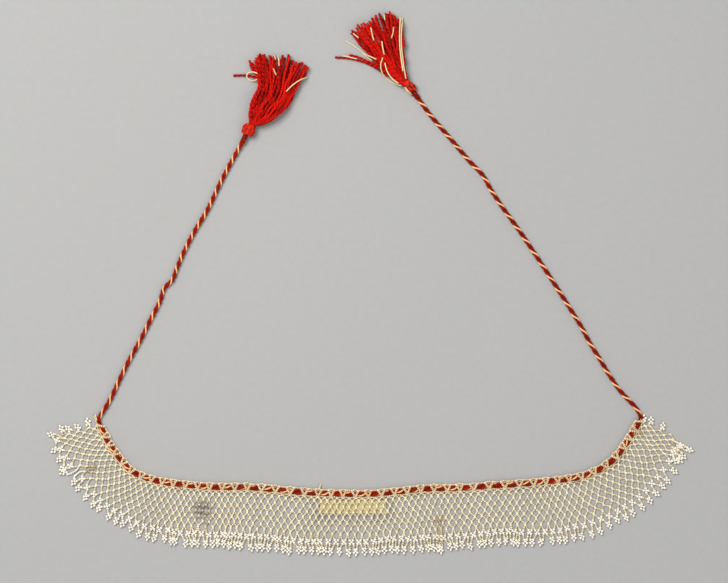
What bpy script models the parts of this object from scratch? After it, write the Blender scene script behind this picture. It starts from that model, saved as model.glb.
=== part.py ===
"""Beaded net collar with a silk drawstring and two tassels, laid flat on a surface.

Blender 4.5, metres, +Z up. +Y runs from the collar towards its tassels, and +X to the right.
The origin is under the middle of the collar, on the surface it lies on.
The collar is a crescent of netting. A point on it is given by a window, which counts the
drawstring's windows along the neck edge, and a depth below that edge.
"""

import math

import bmesh
import bpy
import numpy as np
from mathutils import Vector

MM = 0.001

# Neck edge and strings. Lengths are millimetres and angles degrees. A drop is how long the
# strings hang there, from the neck edge to the tips of the fringe. These and all other places
# below count from the sheet's own zero, and the centre is where the origin lies on it.
SECTIONS = (
    # window, neck x, neck y, string angle, drop
    (-0.5, -178.7, 41.9, 197.5, 42.2),
    (0.5, -174.9, 34.0, 196.3, 43.2),
    (1.5, -172.2, 29.0, 208.7, 41.7),
    (2.5, -168.4, 23.5, 217.7, 39.7),
    (3.5, -163.8, 17.6, 227.4, 40.5),
    (4.5, -158.7, 12.3, 235.8, 40.2),
    (5.5, -152.2, 9.0, 243.1, 40.6),
    (6.5, -145.8, 6.8, 251.8, 43.1),
    (7.5, -138.9, 5.3, 258.3, 43.8),
    (8.5, -131.7, 4.1, 263.4, 43.8),
    (9.5, -123.5, 3.3, 263.6, 45.4),
    (10.5, -115.5, 2.5, 265.9, 44.1),
    (11.5, -107.6, 1.9, 268.8, 44.7),
    (12.5, -99.3, 1.7, 270.8, 44.3),
    (13.5, -90.8, 1.7, 268.8, 44.5),
    (14.5, -82.3, 1.6, 269.1, 46.1),
    (15.5, -72.8, 0.9, 268.3, 45.1),
    (16.5, -63.5, 0.3, 267.6, 45.4),
    (17.5, -53.6, -1.0, 265.6, 45.3),
    (18.5, -43.9, -1.7, 265.7, 45.9),
    (19.5, -34.8, -2.3, 265.0, 45.4),
    (20.5, -26.1, -2.5, 266.2, 45.2),
    (21.5, -18.5, -2.8, 271.3, 45.0),
    (22.5, -10.4, -3.0, 274.4, 44.9),
    (23.5, -1.9, -2.9, 277.1, 44.6),
    (24.5, 7.1, -2.3, 277.3, 43.3),
    (25.5, 15.6, -1.4, 278.5, 44.3),
    (26.5, 24.1, -0.6, 279.2, 45.9),
    (27.5, 33.3, 0.4, 278.4, 45.6),
    (28.5, 42.2, 0.9, 276.2, 46.0),
    (29.5, 51.2, 1.0, 273.7, 44.8),
    (30.5, 59.4, 1.1, 277.2, 45.0),
    (31.5, 68.6, 1.6, 278.8, 44.0),
    (32.5, 79.1, 2.7, 276.8, 43.7),
    (33.5, 89.7, 3.2, 274.4, 43.5),
    (34.5, 99.4, 3.9, 272.9, 45.0),
    (35.5, 108.9, 4.6, 274.5, 46.1),
    (36.5, 117.0, 5.5, 278.0, 47.0),
    (37.5, 124.9, 6.2, 281.1, 45.6),
    (38.5, 132.1, 7.2, 287.6, 45.7),
    (39.5, 139.9, 8.7, 294.7, 43.7),
    (40.5, 148.2, 11.4, 301.4, 42.7),
    (41.5, 156.2, 15.8, 305.2, 42.4),
    (42.5, 162.8, 21.6, 311.2, 42.4),
    (43.5, 167.4, 27.7, 318.6, 42.5),
    (44.5, 170.9, 33.1, 329.9, 42.9),
    (45.5, 174.2, 38.5, 332.6, 42.2),
    (46.5, 177.9, 45.1, 333.5, 43.6),
)
CENTRE_X, CENTRE_Y = -0.87, 0.3
WINDOWS = 47
FIRST_WINDOW = -0.5
GAP = 0.3

# Casing for the drawstring, on depths that no drop stretches.
RAIL_HEIGHT = 1.2
EDGE_RAIL = (0.0, 1.0)
BORDER_RAIL = (4.6, 5.9)
ARCH_TOP = (0.9, 5.0)
ARCH_TOP_HEIGHT = 4.6
ARCH_INSIDE = (1.35, 4.35)
ARCH_INSIDE_HEIGHT = 3.6
BAR_HALF_WIDTH = 0.5

# Netting: its depths are for a drop of 44.8, and shrink or grow with the drop.
HEADER_DEPTH = 6.0
NOMINAL_DROP = 44.8
NET_TOP, NET_BOTTOM = 6.2, 31.2
FIRST_ROW, ROW_STEP, ROWS = 7.7, 3.68, 7
CROSSING_HEIGHT, MESH_HEIGHT, EDGE_HEIGHT = 1.75, 1.0, 1.4

# Fringe: a strip of florets, then a strand for each picot, which hangs between two florets.
STRIP_TOP, STRIP_BOTTOM = 31.5, 34.0
STRIP_HEIGHT, FLORET_HEIGHT = 1.4, 1.9
STRAND_RINGS = (
    # depth, half width, bottom, top
    (37.8, 0.85, 0.3, 1.5),
    (41.0, 1.65, 0.4, 2.0),
    (44.8, 0.6, 0.5, 1.6),
)
HEM_STRIPS = (
    # name, first strand, last strand
    ("fringe_hem_left", 2, 18),
    ("fringe_hem_centre", 19, 75),
    ("fringe_hem_right", 76, 94),
)
END_STRIPS = (
    # name, window, outward side, first depth, last depth
    ("fringe_end_left", -0.5, -1, 7.5, 36.4),
    ("fringe_end_right", 46.5, 1, 6.4, 20.5),
)
END_STRANDS = (
    # strip, root depth, tip depth, reach of the tip
    ("fringe_end_left", 11.0, 9.5, 6.9),
    ("fringe_end_left", 17.0, 20.0, 5.4),
    ("fringe_end_left", 23.4, 26.2, 6.2),
    ("fringe_end_left", 29.0, 31.0, 7.8),
    ("fringe_end_left", 34.8, 40.8, 5.3),
    ("fringe_end_right", 7.6, 4.4, 5.6),
    ("fringe_end_right", 12.0, 9.2, 5.8),
    ("fringe_end_right", 18.5, 18.0, 6.9),
)
END_STRIP_WIDTH = 1.3
END_ROOT_HALF = 1.1

# Label behind the netting, and the rip beside it.
LABEL_X, LABEL_Y = -11.8, -15.4
LABEL_LENGTH, LABEL_WIDTH, LABEL_HEIGHT = 44.4, 8.6, 1.0
POCKET_MARGIN, POCKET_HEIGHT = 0.4, 1.3
HUMP_MARGIN, HUMP_SLOPE = 1.5, 3.5
RIP_X, RIP_Y, RIP_WIDTH, RIP_LENGTH = 45.6, -13.4, 3.2, 8.4

# Drawstring.
CORD_DIAMETER = 3.0
CORD_DEPTH = 2.8
CORD_UNDER, CORD_OVER = 1.65, 3.1
CORD_OVERHANG = 1.0
CORD_STEP = 8.5
CORD_LEAD = (0.0, 1.2, 3.2, 6.0)
CORD_LEFT = (
    (-181.8, 42.25, 1.65),
    (-182.1, 43.5, 1.65),
    (-181.6, 45.6, 1.65),
    (-180.1, 48.2, 1.65),
    (-178.2, 51.0, 1.65),
    (-174.5, 57.3, 1.65),
    (-168.2, 70.7, 1.65),
    (-161.5, 84.1, 1.65),
    (-154.1, 97.5, 1.65),
    (-147.4, 110.9, 1.65),
    (-140.7, 124.3, 1.65),
    (-138.0, 132.3, 1.65),
    (-132.7, 137.7, 1.65),
    (-129.6, 145.7, 1.65),
    (-124.3, 157.8, 1.65),
    (-117.3, 171.2, 1.65),
    (-109.2, 184.6, 1.65),
    (-102.8, 198.0, 1.65),
    (-96.1, 211.4, 1.65),
    (-89.4, 223.4, 1.9),
    (-83.8, 233.7, 3.6),
)
CORD_RIGHT = (
    (181.1, 45.0, 1.65),
    (181.6, 46.0, 1.65),
    (181.3, 47.8, 1.65),
    (179.9, 49.9, 1.65),
    (178.0, 52.0, 1.65),
    (174.4, 55.9, 1.65),
    (167.2, 63.3, 1.65),
    (160.5, 73.0, 1.65),
    (153.8, 84.1, 1.65),
    (147.1, 95.1, 1.65),
    (140.4, 107.5, 1.65),
    (133.7, 118.3, 1.65),
    (127.0, 129.0, 1.65),
    (113.6, 149.7, 1.65),
    (100.2, 169.8, 1.65),
    (86.8, 188.6, 1.65),
    (80.1, 199.0, 1.65),
    (75.4, 207.4, 1.65),
    (66.7, 216.7, 1.65),
    (53.3, 232.5, 1.65),
    (39.9, 248.2, 1.65),
    (28.8, 263.2, 2.4),
)

# Tassels. Along runs from the knot to the tips, and aside is to its right.
TASSEL_COLUMNS, TASSEL_LAYERS = 8, 3
TASSELS = {
    "tassel_left": {
        "place": (-81.9, 237.9),
        "angle": 65.7,
        "rings": (
            # along, aside, height, half width, half height
            (-4.0, 0.0, 4.1, 1.2, 1.2),
            (-3.0, 0.0, 4.1, 3.1, 2.9),
            (0.0, 0.0, 4.1, 4.4, 4.0),
            (3.0, 0.0, 4.1, 3.4, 3.2),
            (5.7, 0.3, 4.1, 2.4, 2.5),
            (7.6, 1.3, 4.3, 4.8, 3.5),
            (10.5, 2.8, 4.5, 7.6, 4.3),
            (14.7, 3.9, 4.7, 9.4, 4.5),
        ),
        "knee": (30.2, 5.6, 3.6, 12.1, 3.0),
        "tip": (56.3, 0.7, 2.8, 19.8, 2.6),
        "tip_bow": (8.0, 0.3),
        "stray": ((30.0, -6.0, 3.6), (29.6, -23.9, 1.6)),
    },
    "tassel_right": {
        "place": (23.45, 268.3),
        "angle": 110.4,
        "rings": (
            # along, aside, height, half width, half height
            (-5.9, 3.0, 2.7, 0.9, 0.9),
            (-5.2, 2.8, 2.9, 2.0, 2.0),
            (-3.3, 2.0, 3.1, 2.9, 2.9),
            (-1.0, 0.8, 3.1, 2.3, 2.4),
            (0.4, 0.2, 3.1, 2.0, 2.2),
            (2.8, -0.8, 3.5, 3.1, 3.0),
            (5.6, -1.8, 4.0, 4.4, 3.8),
        ),
        "knee": (24.8, -2.6, 3.4, 10.4, 2.9),
        "tip": (50.9, -3.6, 2.8, 17.9, 2.6),
        "tip_bow": (6.0, 0.0),
        "stray": ((14.8, -12.0, 2.6), (33.6, -37.5, 1.6)),
    },
}
ROOT_INSET = 0.15
KNEE_SIZE = (1.0, 0.6)
TIP_SIZE = (1.3, 0.65)

MATERIALS = {
    # name: colour, roughness, metallic
    "clear_beads": ((0.66, 0.58, 0.42), 0.25, 0.0),
    "edging_beads": ((0.72, 0.60, 0.44), 0.25, 0.0),
    "white_beads": ((0.86, 0.82, 0.74), 0.3, 0.0),
    "red_silk": ((0.42, 0.02, 0.015), 0.5, 0.0),
    "cream_tape": ((0.72, 0.64, 0.47), 0.8, 0.0),
}


def smooth(stations, values, at):
    """A cubic curve through the values, and straight beyond its ends."""
    stations = np.asarray(stations, float)
    values = np.asarray(values, float)
    steps = np.diff(stations)
    rises = np.diff(values) / steps
    slopes = np.empty(len(values))
    slopes[0], slopes[-1] = rises[0], rises[-1]
    slopes[1:-1] = (rises[:-1] * steps[1:] + rises[1:] * steps[:-1]) / (steps[:-1] + steps[1:])
    if at <= stations[0]:
        return values[0] + slopes[0] * (at - stations[0])
    if at >= stations[-1]:
        return values[-1] + slopes[-1] * (at - stations[-1])
    i = int(np.searchsorted(stations, at, side="right")) - 1
    t = (at - stations[i]) / steps[i]
    start = values[i] * (1 + 2 * t) + slopes[i] * steps[i] * t
    end = values[i + 1] * (3 - 2 * t) - slopes[i + 1] * steps[i] * (1 - t)
    return start * (1 - t) ** 2 + end * t**2


def section(window):
    """Neck x, neck y, string angle and drop at a window."""
    table = np.array(SECTIONS)
    return [smooth(table[:, 0], column, window) for column in table[:, 1:].T]


def place(window, depth, height, aside=0.0):
    """The point at a depth below the neck edge, in metres. Aside moves it along the edge."""
    neck_x, neck_y, angle, drop = section(window)
    if depth > HEADER_DEPTH:
        depth = HEADER_DEPTH + (depth - HEADER_DEPTH) * (drop - HEADER_DEPTH) / (NOMINAL_DROP - HEADER_DEPTH)
    down = (math.cos(math.radians(angle)), math.sin(math.radians(angle)))
    x = neck_x + depth * down[0] - aside * down[1]
    y = neck_y + depth * down[1] + aside * down[0]
    return Vector((x, y, height)) * MM


def window_width(window):
    """Millimetres along the neck edge for one window."""
    ahead = place(window + 0.05, 0, 0)
    behind = place(window - 0.05, 0, 0)
    return (ahead - behind).length / MM / 0.1


def material(name):
    found = bpy.data.materials.get(name)
    if found:
        return found
    colour, roughness, metallic = MATERIALS[name]
    made = bpy.data.materials.new(name)
    made.use_nodes = True
    shader = made.node_tree.nodes["Principled BSDF"]
    shader.inputs["Base Color"].default_value = (*colour, 1)
    shader.inputs["Roughness"].default_value = roughness
    shader.inputs["Metallic"].default_value = metallic
    return made


def add_to_collar(made):
    bpy.context.collection.objects.link(made)
    made.parent = bpy.data.objects["collar"]
    return made


def add_object(name, bm, material_name):
    bmesh.ops.recalc_face_normals(bm, faces=bm.faces)
    mesh = bpy.data.meshes.new(name)
    bm.to_mesh(mesh)
    bm.free()
    mesh.materials.append(material(material_name))
    return add_to_collar(bpy.data.objects.new(name, mesh))


def cut(target, name, size, location):
    """A Boolean cut of a box."""
    bm = bmesh.new()
    bmesh.ops.create_cube(bm, size=1)
    bmesh.ops.scale(bm, vec=Vector(size) * MM, verts=bm.verts)
    cutter = add_object(name, bm, "clear_beads")
    cutter.location = Vector(location) * MM
    cutter.hide_render = True
    cutter.display_type = "WIRE"
    modifier = target.modifiers.new(name, "BOOLEAN")
    modifier.operation = "DIFFERENCE"
    modifier.solver = "EXACT"
    modifier.object = cutter


def hump(point):
    """How far the netting rises over the label, from 0 to 1."""
    past_x = abs(point.x / MM - LABEL_X) - LABEL_LENGTH / 2 - HUMP_MARGIN
    past_y = abs(point.y / MM - LABEL_Y) - LABEL_WIDTH / 2 - HUMP_MARGIN
    past = math.hypot(max(past_x, 0), max(past_y, 0))
    return max(0.0, 1 - past / HUMP_SLOPE)


def net_panel():
    """Netting: crossings stand up, and the strings between them are ridges round each mesh."""
    depths = [NET_TOP] + [FIRST_ROW + ROW_STEP * row for row in range(ROWS)] + [NET_BOTTOM]
    halves = 4 * WINDOWS
    bm = bmesh.new()
    bmesh.ops.create_grid(bm, x_segments=halves, y_segments=len(depths) - 1, size=1)
    crossings = set()
    for vertex in bm.verts:
        half = round((vertex.co.x + 1) / 2 * halves)
        row = round((1 - vertex.co.y) / 2 * (len(depths) - 1)) - 1
        height = EDGE_HEIGHT
        if 0 <= row < ROWS:
            is_crossing = (half + row) % 2 == 1
            height = CROSSING_HEIGHT if is_crossing else MESH_HEIGHT
            if is_crossing:
                crossings.add(vertex)
        flat = place(FIRST_WINDOW + half / 4, depths[row + 1], 0)
        vertex.co = flat + Vector((0, 0, (height + POCKET_HEIGHT * hump(flat)) * MM))
    for face in list(bm.faces):
        ends = [vertex for vertex in face.verts if vertex in crossings]
        if len(ends) == 2:
            bmesh.utils.face_split(face, ends[0], ends[1])
    rim = [edge for edge in bm.edges if edge.is_boundary]
    walls = bmesh.ops.extrude_edge_only(bm, edges=rim)["geom"]
    for vertex in (item for item in walls if isinstance(item, bmesh.types.BMVert)):
        vertex.co.z = 0
    foot = [edge for edge in bm.edges if edge.is_boundary]
    bmesh.ops.edgeloop_fill(bm, edges=foot)
    made = add_object("net_panel", bm, "clear_beads")
    pocket = (LABEL_LENGTH + 2 * POCKET_MARGIN, LABEL_WIDTH + 2 * POCKET_MARGIN, 2 * POCKET_HEIGHT)
    cut(made, "label_pocket", pocket, (LABEL_X, LABEL_Y, 0))
    cut(made, "rip", (RIP_WIDTH, RIP_LENGTH, 4 * CROSSING_HEIGHT), (RIP_X, RIP_Y, 0))


def header_stations():
    """(window, what lies between it and the next station) along the casing."""
    stations = []
    for half in range(2 * WINDOWS + 1):
        window = FIRST_WINDOW + half / 2
        reach = BAR_HALF_WIDTH / window_width(window)
        stations.append((window - reach, "arch" if half % 2 == 0 else "bar"))
        stations.append((window + reach, "gap"))
    stations[-1] = (stations[-1][0], "end")
    return stations


def header_band():
    """Casing: two strings along the neck, arched over the drawstring and barred under it."""
    profile = {
        "edge_out_low": (EDGE_RAIL[0], 0),
        "edge_out_high": (EDGE_RAIL[0], RAIL_HEIGHT),
        "edge_in_low": (EDGE_RAIL[1], 0),
        "edge_in_high": (EDGE_RAIL[1], RAIL_HEIGHT),
        "border_in_low": (BORDER_RAIL[0], 0),
        "border_in_high": (BORDER_RAIL[0], RAIL_HEIGHT),
        "border_out_low": (BORDER_RAIL[1], 0),
        "border_out_high": (BORDER_RAIL[1], RAIL_HEIGHT),
        "arch_edge": (ARCH_TOP[0], ARCH_TOP_HEIGHT),
        "arch_border": (ARCH_TOP[1], ARCH_TOP_HEIGHT),
        "inside_edge": (ARCH_INSIDE[0], ARCH_INSIDE_HEIGHT),
        "inside_border": (ARCH_INSIDE[1], ARCH_INSIDE_HEIGHT),
    }
    rails = (
        ("edge_out_low", "edge_in_low"),
        ("border_in_low", "border_out_low"),
        ("edge_out_low", "edge_out_high"),
        ("border_out_low", "border_out_high"),
    )
    rail_tops = (("edge_out_high", "edge_in_high"), ("border_in_high", "border_out_high"))
    rail_insides = (("edge_in_low", "edge_in_high"), ("border_in_low", "border_in_high"))
    strips = {
        "gap": rails + rail_tops + rail_insides,
        "bar": rails + rail_tops + (("edge_in_high", "border_in_high"), ("edge_in_low", "border_in_low")),
        "arch": rails
        + rail_insides
        + (
            ("edge_out_high", "arch_edge"),
            ("arch_edge", "arch_border"),
            ("arch_border", "border_out_high"),
            ("edge_in_high", "inside_edge"),
            ("inside_edge", "inside_border"),
            ("inside_border", "border_in_high"),
        ),
    }
    arch_sides = (
        ("edge_out_high", "edge_in_high", "inside_edge", "arch_edge"),
        ("arch_edge", "inside_edge", "inside_border", "arch_border"),
        ("arch_border", "inside_border", "border_in_high", "border_out_high"),
    )
    rail_ends = (
        ("edge_out_low", "edge_in_low", "edge_in_high", "edge_out_high"),
        ("border_in_low", "border_out_low", "border_out_high", "border_in_high"),
    )
    sides = {
        "bar": (("edge_in_low", "border_in_low", "border_in_high", "edge_in_high"),),
        "arch": arch_sides,
        "gap": (),
        "end": (),
    }
    bm = bmesh.new()
    points = {}

    def vertex(station, name):
        if (station, name) not in points:
            depth, height = profile[name]
            points[station, name] = bm.verts.new(place(stations[station][0], depth, height))
        return points[station, name]

    stations = header_stations()
    last = len(stations) - 1
    for i, (_, kind) in enumerate(stations):
        before = stations[i - 1][1] if i else "end"
        for names in sides[kind] + sides[before]:
            bm.faces.new([vertex(i, name) for name in names])
        if i in (0, last):
            for names in rail_ends:
                bm.faces.new([vertex(i, name) for name in names])
        if kind == "end":
            continue
        for first, second in strips[kind]:
            corners = (vertex(i, first), vertex(i, second), vertex(i + 1, second), vertex(i + 1, first))
            bm.faces.new(corners)
    add_object("header_band", bm, "edging_beads")


def sway(strand):
    """How far a strand's tip hangs to one side."""
    return 0.6 * math.sin(0.83 * strand + 1) + 0.25 * math.sin(2.1 * strand)


def fringe_hem(name, first, last):
    """A strip of florets just below the netting, each drawn out into the strand of its picot."""
    bm = bmesh.new()
    corners = []
    for i in range(first, last + 2):
        window = FIRST_WINDOW + (i - 1) / 2 if i > HEM_STRIPS[0][1] else FIRST_WINDOW
        inset = 0.0
        if i == first:
            inset = GAP / 2 / window_width(window)
        if i == last + 1:
            inset = -GAP / 2 / window_width(window)
        window += inset
        corners.append(
            {
                "top": bm.verts.new(place(window, STRIP_TOP, STRIP_HEIGHT)),
                "top_low": bm.verts.new(place(window, STRIP_TOP, 0)),
                "root": bm.verts.new(place(window, STRIP_BOTTOM, FLORET_HEIGHT)),
                "root_low": bm.verts.new(place(window, STRIP_BOTTOM, 0)),
            }
        )
    roots = []
    around = ("top", "top_low", "root_low", "root")
    for left, right in zip(corners, corners[1:]):
        for a, b in (("top", "root"), ("top_low", "root_low"), ("top", "top_low")):
            bm.faces.new((left[a], left[b], right[b], right[a]))
        roots.append(bm.faces.new((left["root"], left["root_low"], right["root_low"], right["root"])))
    for end in (corners[0], corners[-1]):
        bm.faces.new([end[key] for key in around])
    for strand, root in enumerate(roots, first):
        window = FIRST_WINDOW + strand / 2 - 0.25
        previous = list(root.verts)
        bm.faces.remove(root)
        for depth, half, bottom, top in STRAND_RINGS:
            lean = sway(strand) * (depth - STRIP_BOTTOM) / (NOMINAL_DROP - STRIP_BOTTOM)
            shape = ((-half, top), (-half, bottom), (half, bottom), (half, top))
            ring = [bm.verts.new(place(window, depth, height, lean + x)) for x, height in shape]
            for j in range(4):
                bm.faces.new((previous[j], previous[j - 1], ring[j - 1], ring[j]))
            previous = ring
        bm.faces.new(previous)
    add_object(name, bm, "white_beads")


def fringe_end(name, window, side, first, last):
    """A strip just outside a short edge, with a few strands across it."""
    strands = [row[1:] for row in END_STRANDS if row[0] == name]
    spots = [first]
    for root, _, _ in strands:
        spots += [root - END_ROOT_HALF, root + END_ROOT_HALF]
    spots.append(last)
    inner, outer = side * GAP, side * (GAP + END_STRIP_WIDTH)
    bm = bmesh.new()
    corners = []
    for depth in spots:
        corners.append(
            [
                bm.verts.new(place(window, depth, STRIP_HEIGHT, inner)),
                bm.verts.new(place(window, depth, 0, inner)),
                bm.verts.new(place(window, depth, 0, outer)),
                bm.verts.new(place(window, depth, STRIP_HEIGHT, outer)),
            ]
        )
    bm.faces.new(corners[0])
    bm.faces.new(corners[-1])
    for i, (near, far) in enumerate(zip(corners, corners[1:])):
        for a, b in ((0, 1), (1, 2), (3, 0)):
            bm.faces.new((near[a], near[b], far[b], far[a]))
        if i % 2 == 0:
            bm.faces.new((near[2], near[3], far[3], far[2]))
    for i, (root, tip, reach) in enumerate(strands):
        near, far = corners[2 * i + 1], corners[2 * i + 2]
        previous = [near[3], near[2], far[2], far[3]]
        for depth, half, bottom, top in STRAND_RINGS:
            share = (depth - STRIP_BOTTOM) / (NOMINAL_DROP - STRIP_BOTTOM)
            out = outer + side * share * (reach - GAP - END_STRIP_WIDTH)
            middle = root + share * (tip - root)
            shape = ((-half, top), (-half, bottom), (half, bottom), (half, top))
            ring = [bm.verts.new(place(window, middle + x, height, out)) for x, height in shape]
            for j in range(4):
                bm.faces.new((previous[j], previous[j - 1], ring[j - 1], ring[j]))
            previous = ring
        bm.faces.new(previous)
    add_object(name, bm, "white_beads")


def label():
    bm = bmesh.new()
    bmesh.ops.create_cube(bm, size=1)
    bmesh.ops.scale(bm, vec=Vector((LABEL_LENGTH, LABEL_WIDTH, LABEL_HEIGHT)) * MM, verts=bm.verts)
    upright = [edge for edge in bm.edges if abs(edge.verts[0].co.z - edge.verts[1].co.z) > 0]
    bmesh.ops.bevel(bm, geom=upright, offset=0.8 * MM, segments=2, affect="EDGES", profile=0.5)
    made = add_object("label", bm, "cream_tape")
    made.location = Vector((LABEL_X, LABEL_Y, LABEL_HEIGHT / 2)) * MM


def tube(name, points):
    """A round cord through points given in metres."""
    curve = bpy.data.curves.new(name, "CURVE")
    curve.dimensions = "3D"
    curve.bevel_depth = CORD_DIAMETER / 2 * MM
    curve.bevel_resolution = 2
    curve.use_fill_caps = True
    spline = curve.splines.new("POLY")
    spline.points.add(len(points) - 1)
    for spot, point in zip(spline.points, points):
        spot.co = (*point, 1)
    curve.materials.append(material("red_silk"))
    add_to_collar(bpy.data.objects.new(name, curve))


def drawstring_threaded():
    """The drawstring inside its casing, under each arch and over each bar."""
    points = []
    for half in range(2 * WINDOWS + 1):
        height = CORD_UNDER if half % 2 == 0 else CORD_OVER
        points.append(place(FIRST_WINDOW + half / 2, CORD_DEPTH, height))
    first, last = FIRST_WINDOW, FIRST_WINDOW + WINDOWS
    points.insert(0, place(first - CORD_OVERHANG / window_width(first), CORD_DEPTH, CORD_UNDER))
    points.append(place(last + CORD_OVERHANG / window_width(last), CORD_DEPTH, CORD_UNDER))
    tube("drawstring_threaded", points)


def free_cord(name, route):
    """A free end: a smooth curve through its route, in short steps where it leaves the collar."""
    route = np.array(route)
    lengths = np.concatenate([[0], np.cumsum(np.linalg.norm(np.diff(route, axis=0), axis=1))])
    steps = round((lengths[-1] - CORD_LEAD[-1]) / CORD_STEP)
    stations = list(CORD_LEAD) + list(np.linspace(CORD_LEAD[-1], lengths[-1], steps + 1))[1:]
    points = []
    for at in stations:
        x, y, z = (smooth(lengths, column, at) for column in route.T)
        points.append(Vector((x, y, z)) * MM)
    tube(name, points)


def round_square(a, b):
    """A point of the square from -1 to 1, moved into the unit circle."""
    return a * math.sqrt(1 - b * b / 2), b * math.sqrt(1 - a * a / 2)


def tassel(name, spec):
    """A knot and a bound head, with a strand drawn out of each cell of the head's face."""
    angle = math.radians(spec["angle"])
    ahead = Vector((math.cos(angle), math.sin(angle), 0))
    right = Vector((math.sin(angle), -math.cos(angle), 0))
    start = Vector((*spec["place"], 0))

    def spot(along, aside, height):
        return (start + ahead * along + right * aside + Vector((0, 0, height))) * MM

    def on_ring(ring, across, up):
        along, aside, height, half_width, half_height = ring
        return spot(along, aside + across * half_width, height + up * half_height)

    bm = bmesh.new()
    bmesh.ops.create_grid(bm, x_segments=TASSEL_COLUMNS, y_segments=TASSEL_LAYERS, size=1)
    disc = {vertex: round_square(vertex.co.x, vertex.co.y) for vertex in bm.verts}
    cells = list(bm.faces)
    middles = {}
    corners = {}
    for cell in cells:
        middle = cell.calc_center_median()
        middles[cell] = round_square(middle.x, middle.y)
        corners[cell] = {vertex: vertex.co - middle for vertex in cell.verts}
    rings = list(reversed(spec["rings"]))
    for vertex, (across, up) in disc.items():
        vertex.co = on_ring(rings[0], across, up)
    rim = [edge for edge in bm.edges if edge.is_boundary]
    shape = {vertex: disc[vertex] for edge in rim for vertex in edge.verts}
    for ring in rings[1:]:
        made = bmesh.ops.extrude_edge_only(bm, edges=rim)["geom"]
        rim = [item for item in made if isinstance(item, bmesh.types.BMEdge) and item.is_boundary]
        new_shape = {}
        for vertex in {vertex for edge in rim for vertex in edge.verts}:
            old = next(edge.other_vert(vertex) for edge in vertex.link_edges if edge.other_vert(vertex) in shape)
            new_shape[vertex] = shape[old]
            vertex.co = on_ring(ring, *shape[old])
        shape = new_shape
    bmesh.ops.edgeloop_fill(bm, edges=rim)
    bmesh.ops.recalc_face_normals(bm, faces=bm.faces)
    first_column = min(middle[0] for middle in middles.values())
    corners = {cell: [corners[cell][vertex] for vertex in cell.verts] for cell in cells}
    bmesh.ops.inset_individual(bm, faces=cells, thickness=ROOT_INSET * MM)
    bow, bow_middle = spec["tip_bow"]
    for cell in cells:
        across, up = middles[cell]
        is_stray = across == first_column and abs(up) < 0.1
        knee = on_ring(spec["knee"], across, up)
        along, aside, height, half_width, half_height = spec["tip"]
        along -= bow * (across - bow_middle) ** 2
        tip = on_ring((along, aside, height, half_width, half_height), across, up)
        if is_stray:
            knee, tip = (spot(*point) for point in spec["stray"])
        root = cell.calc_center_median()
        face = cell
        for centre, before, size in ((knee, root, KNEE_SIZE), (tip, knee, TIP_SIZE)):
            run = (centre - before).normalized()
            side = run.cross(Vector((0, 0, 1))).normalized()
            face = bmesh.ops.extrude_discrete_faces(bm, faces=[face])["faces"][0]
            for vertex, corner in zip(face.verts, corners[cell]):
                out = math.copysign(size[0] * MM, corner.x)
                lift = math.copysign(size[1] * MM, corner.y)
                vertex.co = centre + side * out + Vector((0, 0, lift))
    add_object(name, bm, "red_silk")


def main():
    for old in list(bpy.data.objects):
        bpy.data.objects.remove(old)
    collar = bpy.data.objects.new("collar", None)
    collar.location = Vector((-CENTRE_X, -CENTRE_Y, 0)) * MM
    bpy.context.collection.objects.link(collar)
    net_panel()
    header_band()
    drawstring_threaded()
    free_cord("cord_left", CORD_LEFT)
    free_cord("cord_right", CORD_RIGHT)
    for name, spec in TASSELS.items():
        tassel(name, spec)
    for row in HEM_STRIPS:
        fringe_hem(*row)
    for row in END_STRIPS:
        fringe_end(*row)
    label()


main()
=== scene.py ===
"""A net collar of seed beads with a silk drawstring, two tassels and a fringe, laid out flat.

Places are in millimetres on a sheet: its zero is close to the middle of the neck edge, x runs along
the collar, y towards the tassels and z up. The function on_sheet turns them into the frame's metres.
"""

import math

import bmesh
import bpy
import numpy as np
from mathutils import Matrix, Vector


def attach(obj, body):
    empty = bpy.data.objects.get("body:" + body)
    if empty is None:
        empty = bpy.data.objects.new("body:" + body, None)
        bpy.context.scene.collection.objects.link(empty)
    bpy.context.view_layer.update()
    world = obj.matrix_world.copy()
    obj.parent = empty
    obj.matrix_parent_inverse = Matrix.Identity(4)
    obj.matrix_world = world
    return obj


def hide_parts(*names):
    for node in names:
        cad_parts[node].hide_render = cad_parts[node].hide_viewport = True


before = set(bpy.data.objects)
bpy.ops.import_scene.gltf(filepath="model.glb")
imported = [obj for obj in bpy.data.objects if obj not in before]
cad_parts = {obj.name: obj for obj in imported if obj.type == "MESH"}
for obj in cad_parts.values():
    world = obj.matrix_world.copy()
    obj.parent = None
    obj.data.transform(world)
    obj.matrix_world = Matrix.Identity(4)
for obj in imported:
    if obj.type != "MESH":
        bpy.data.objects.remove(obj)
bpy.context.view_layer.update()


# The table. A plain pale top, wide enough to fill the picture, with soft light from the upper
# left as in a studio and a camera straight above, at the photograph's scale.
MM = 0.001
PIXEL = 0.67
PICTURE_SIZE = (728, 583)
SHEET_ZERO_PIXEL = (370.5, 485.5)
COLLAR_CENTRE = (-0.87, 0.3)
CAMERA_HEIGHT = 1800
TABLE_SIZE = 6.0
TABLE_DROP = 0.05
TABLE_COLOUR = (0.295, 0.29, 0.28)
TABLE_MOTTLE = (0.27, 0.265, 0.255)
SPECKLE_SCALE = 260.0
ROOM_COLOUR = (0.95, 0.97, 1.0)
ROOM_STRENGTH = 0.55
LAMPS = (
    # name, place in metres, size, power
    ("key_light", (-0.60, 0.70, 1.35), 0.80, 30.0),
    ("fill_light", (0.80, -0.55, 1.40), 1.40, 12.0),
)


def on_sheet(x, y, z=0.0):
    """A point of the sheet, in metres from the frame's origin."""
    return Vector((x - COLLAR_CENTRE[0], y - COLLAR_CENTRE[1], z)) * MM


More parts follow.
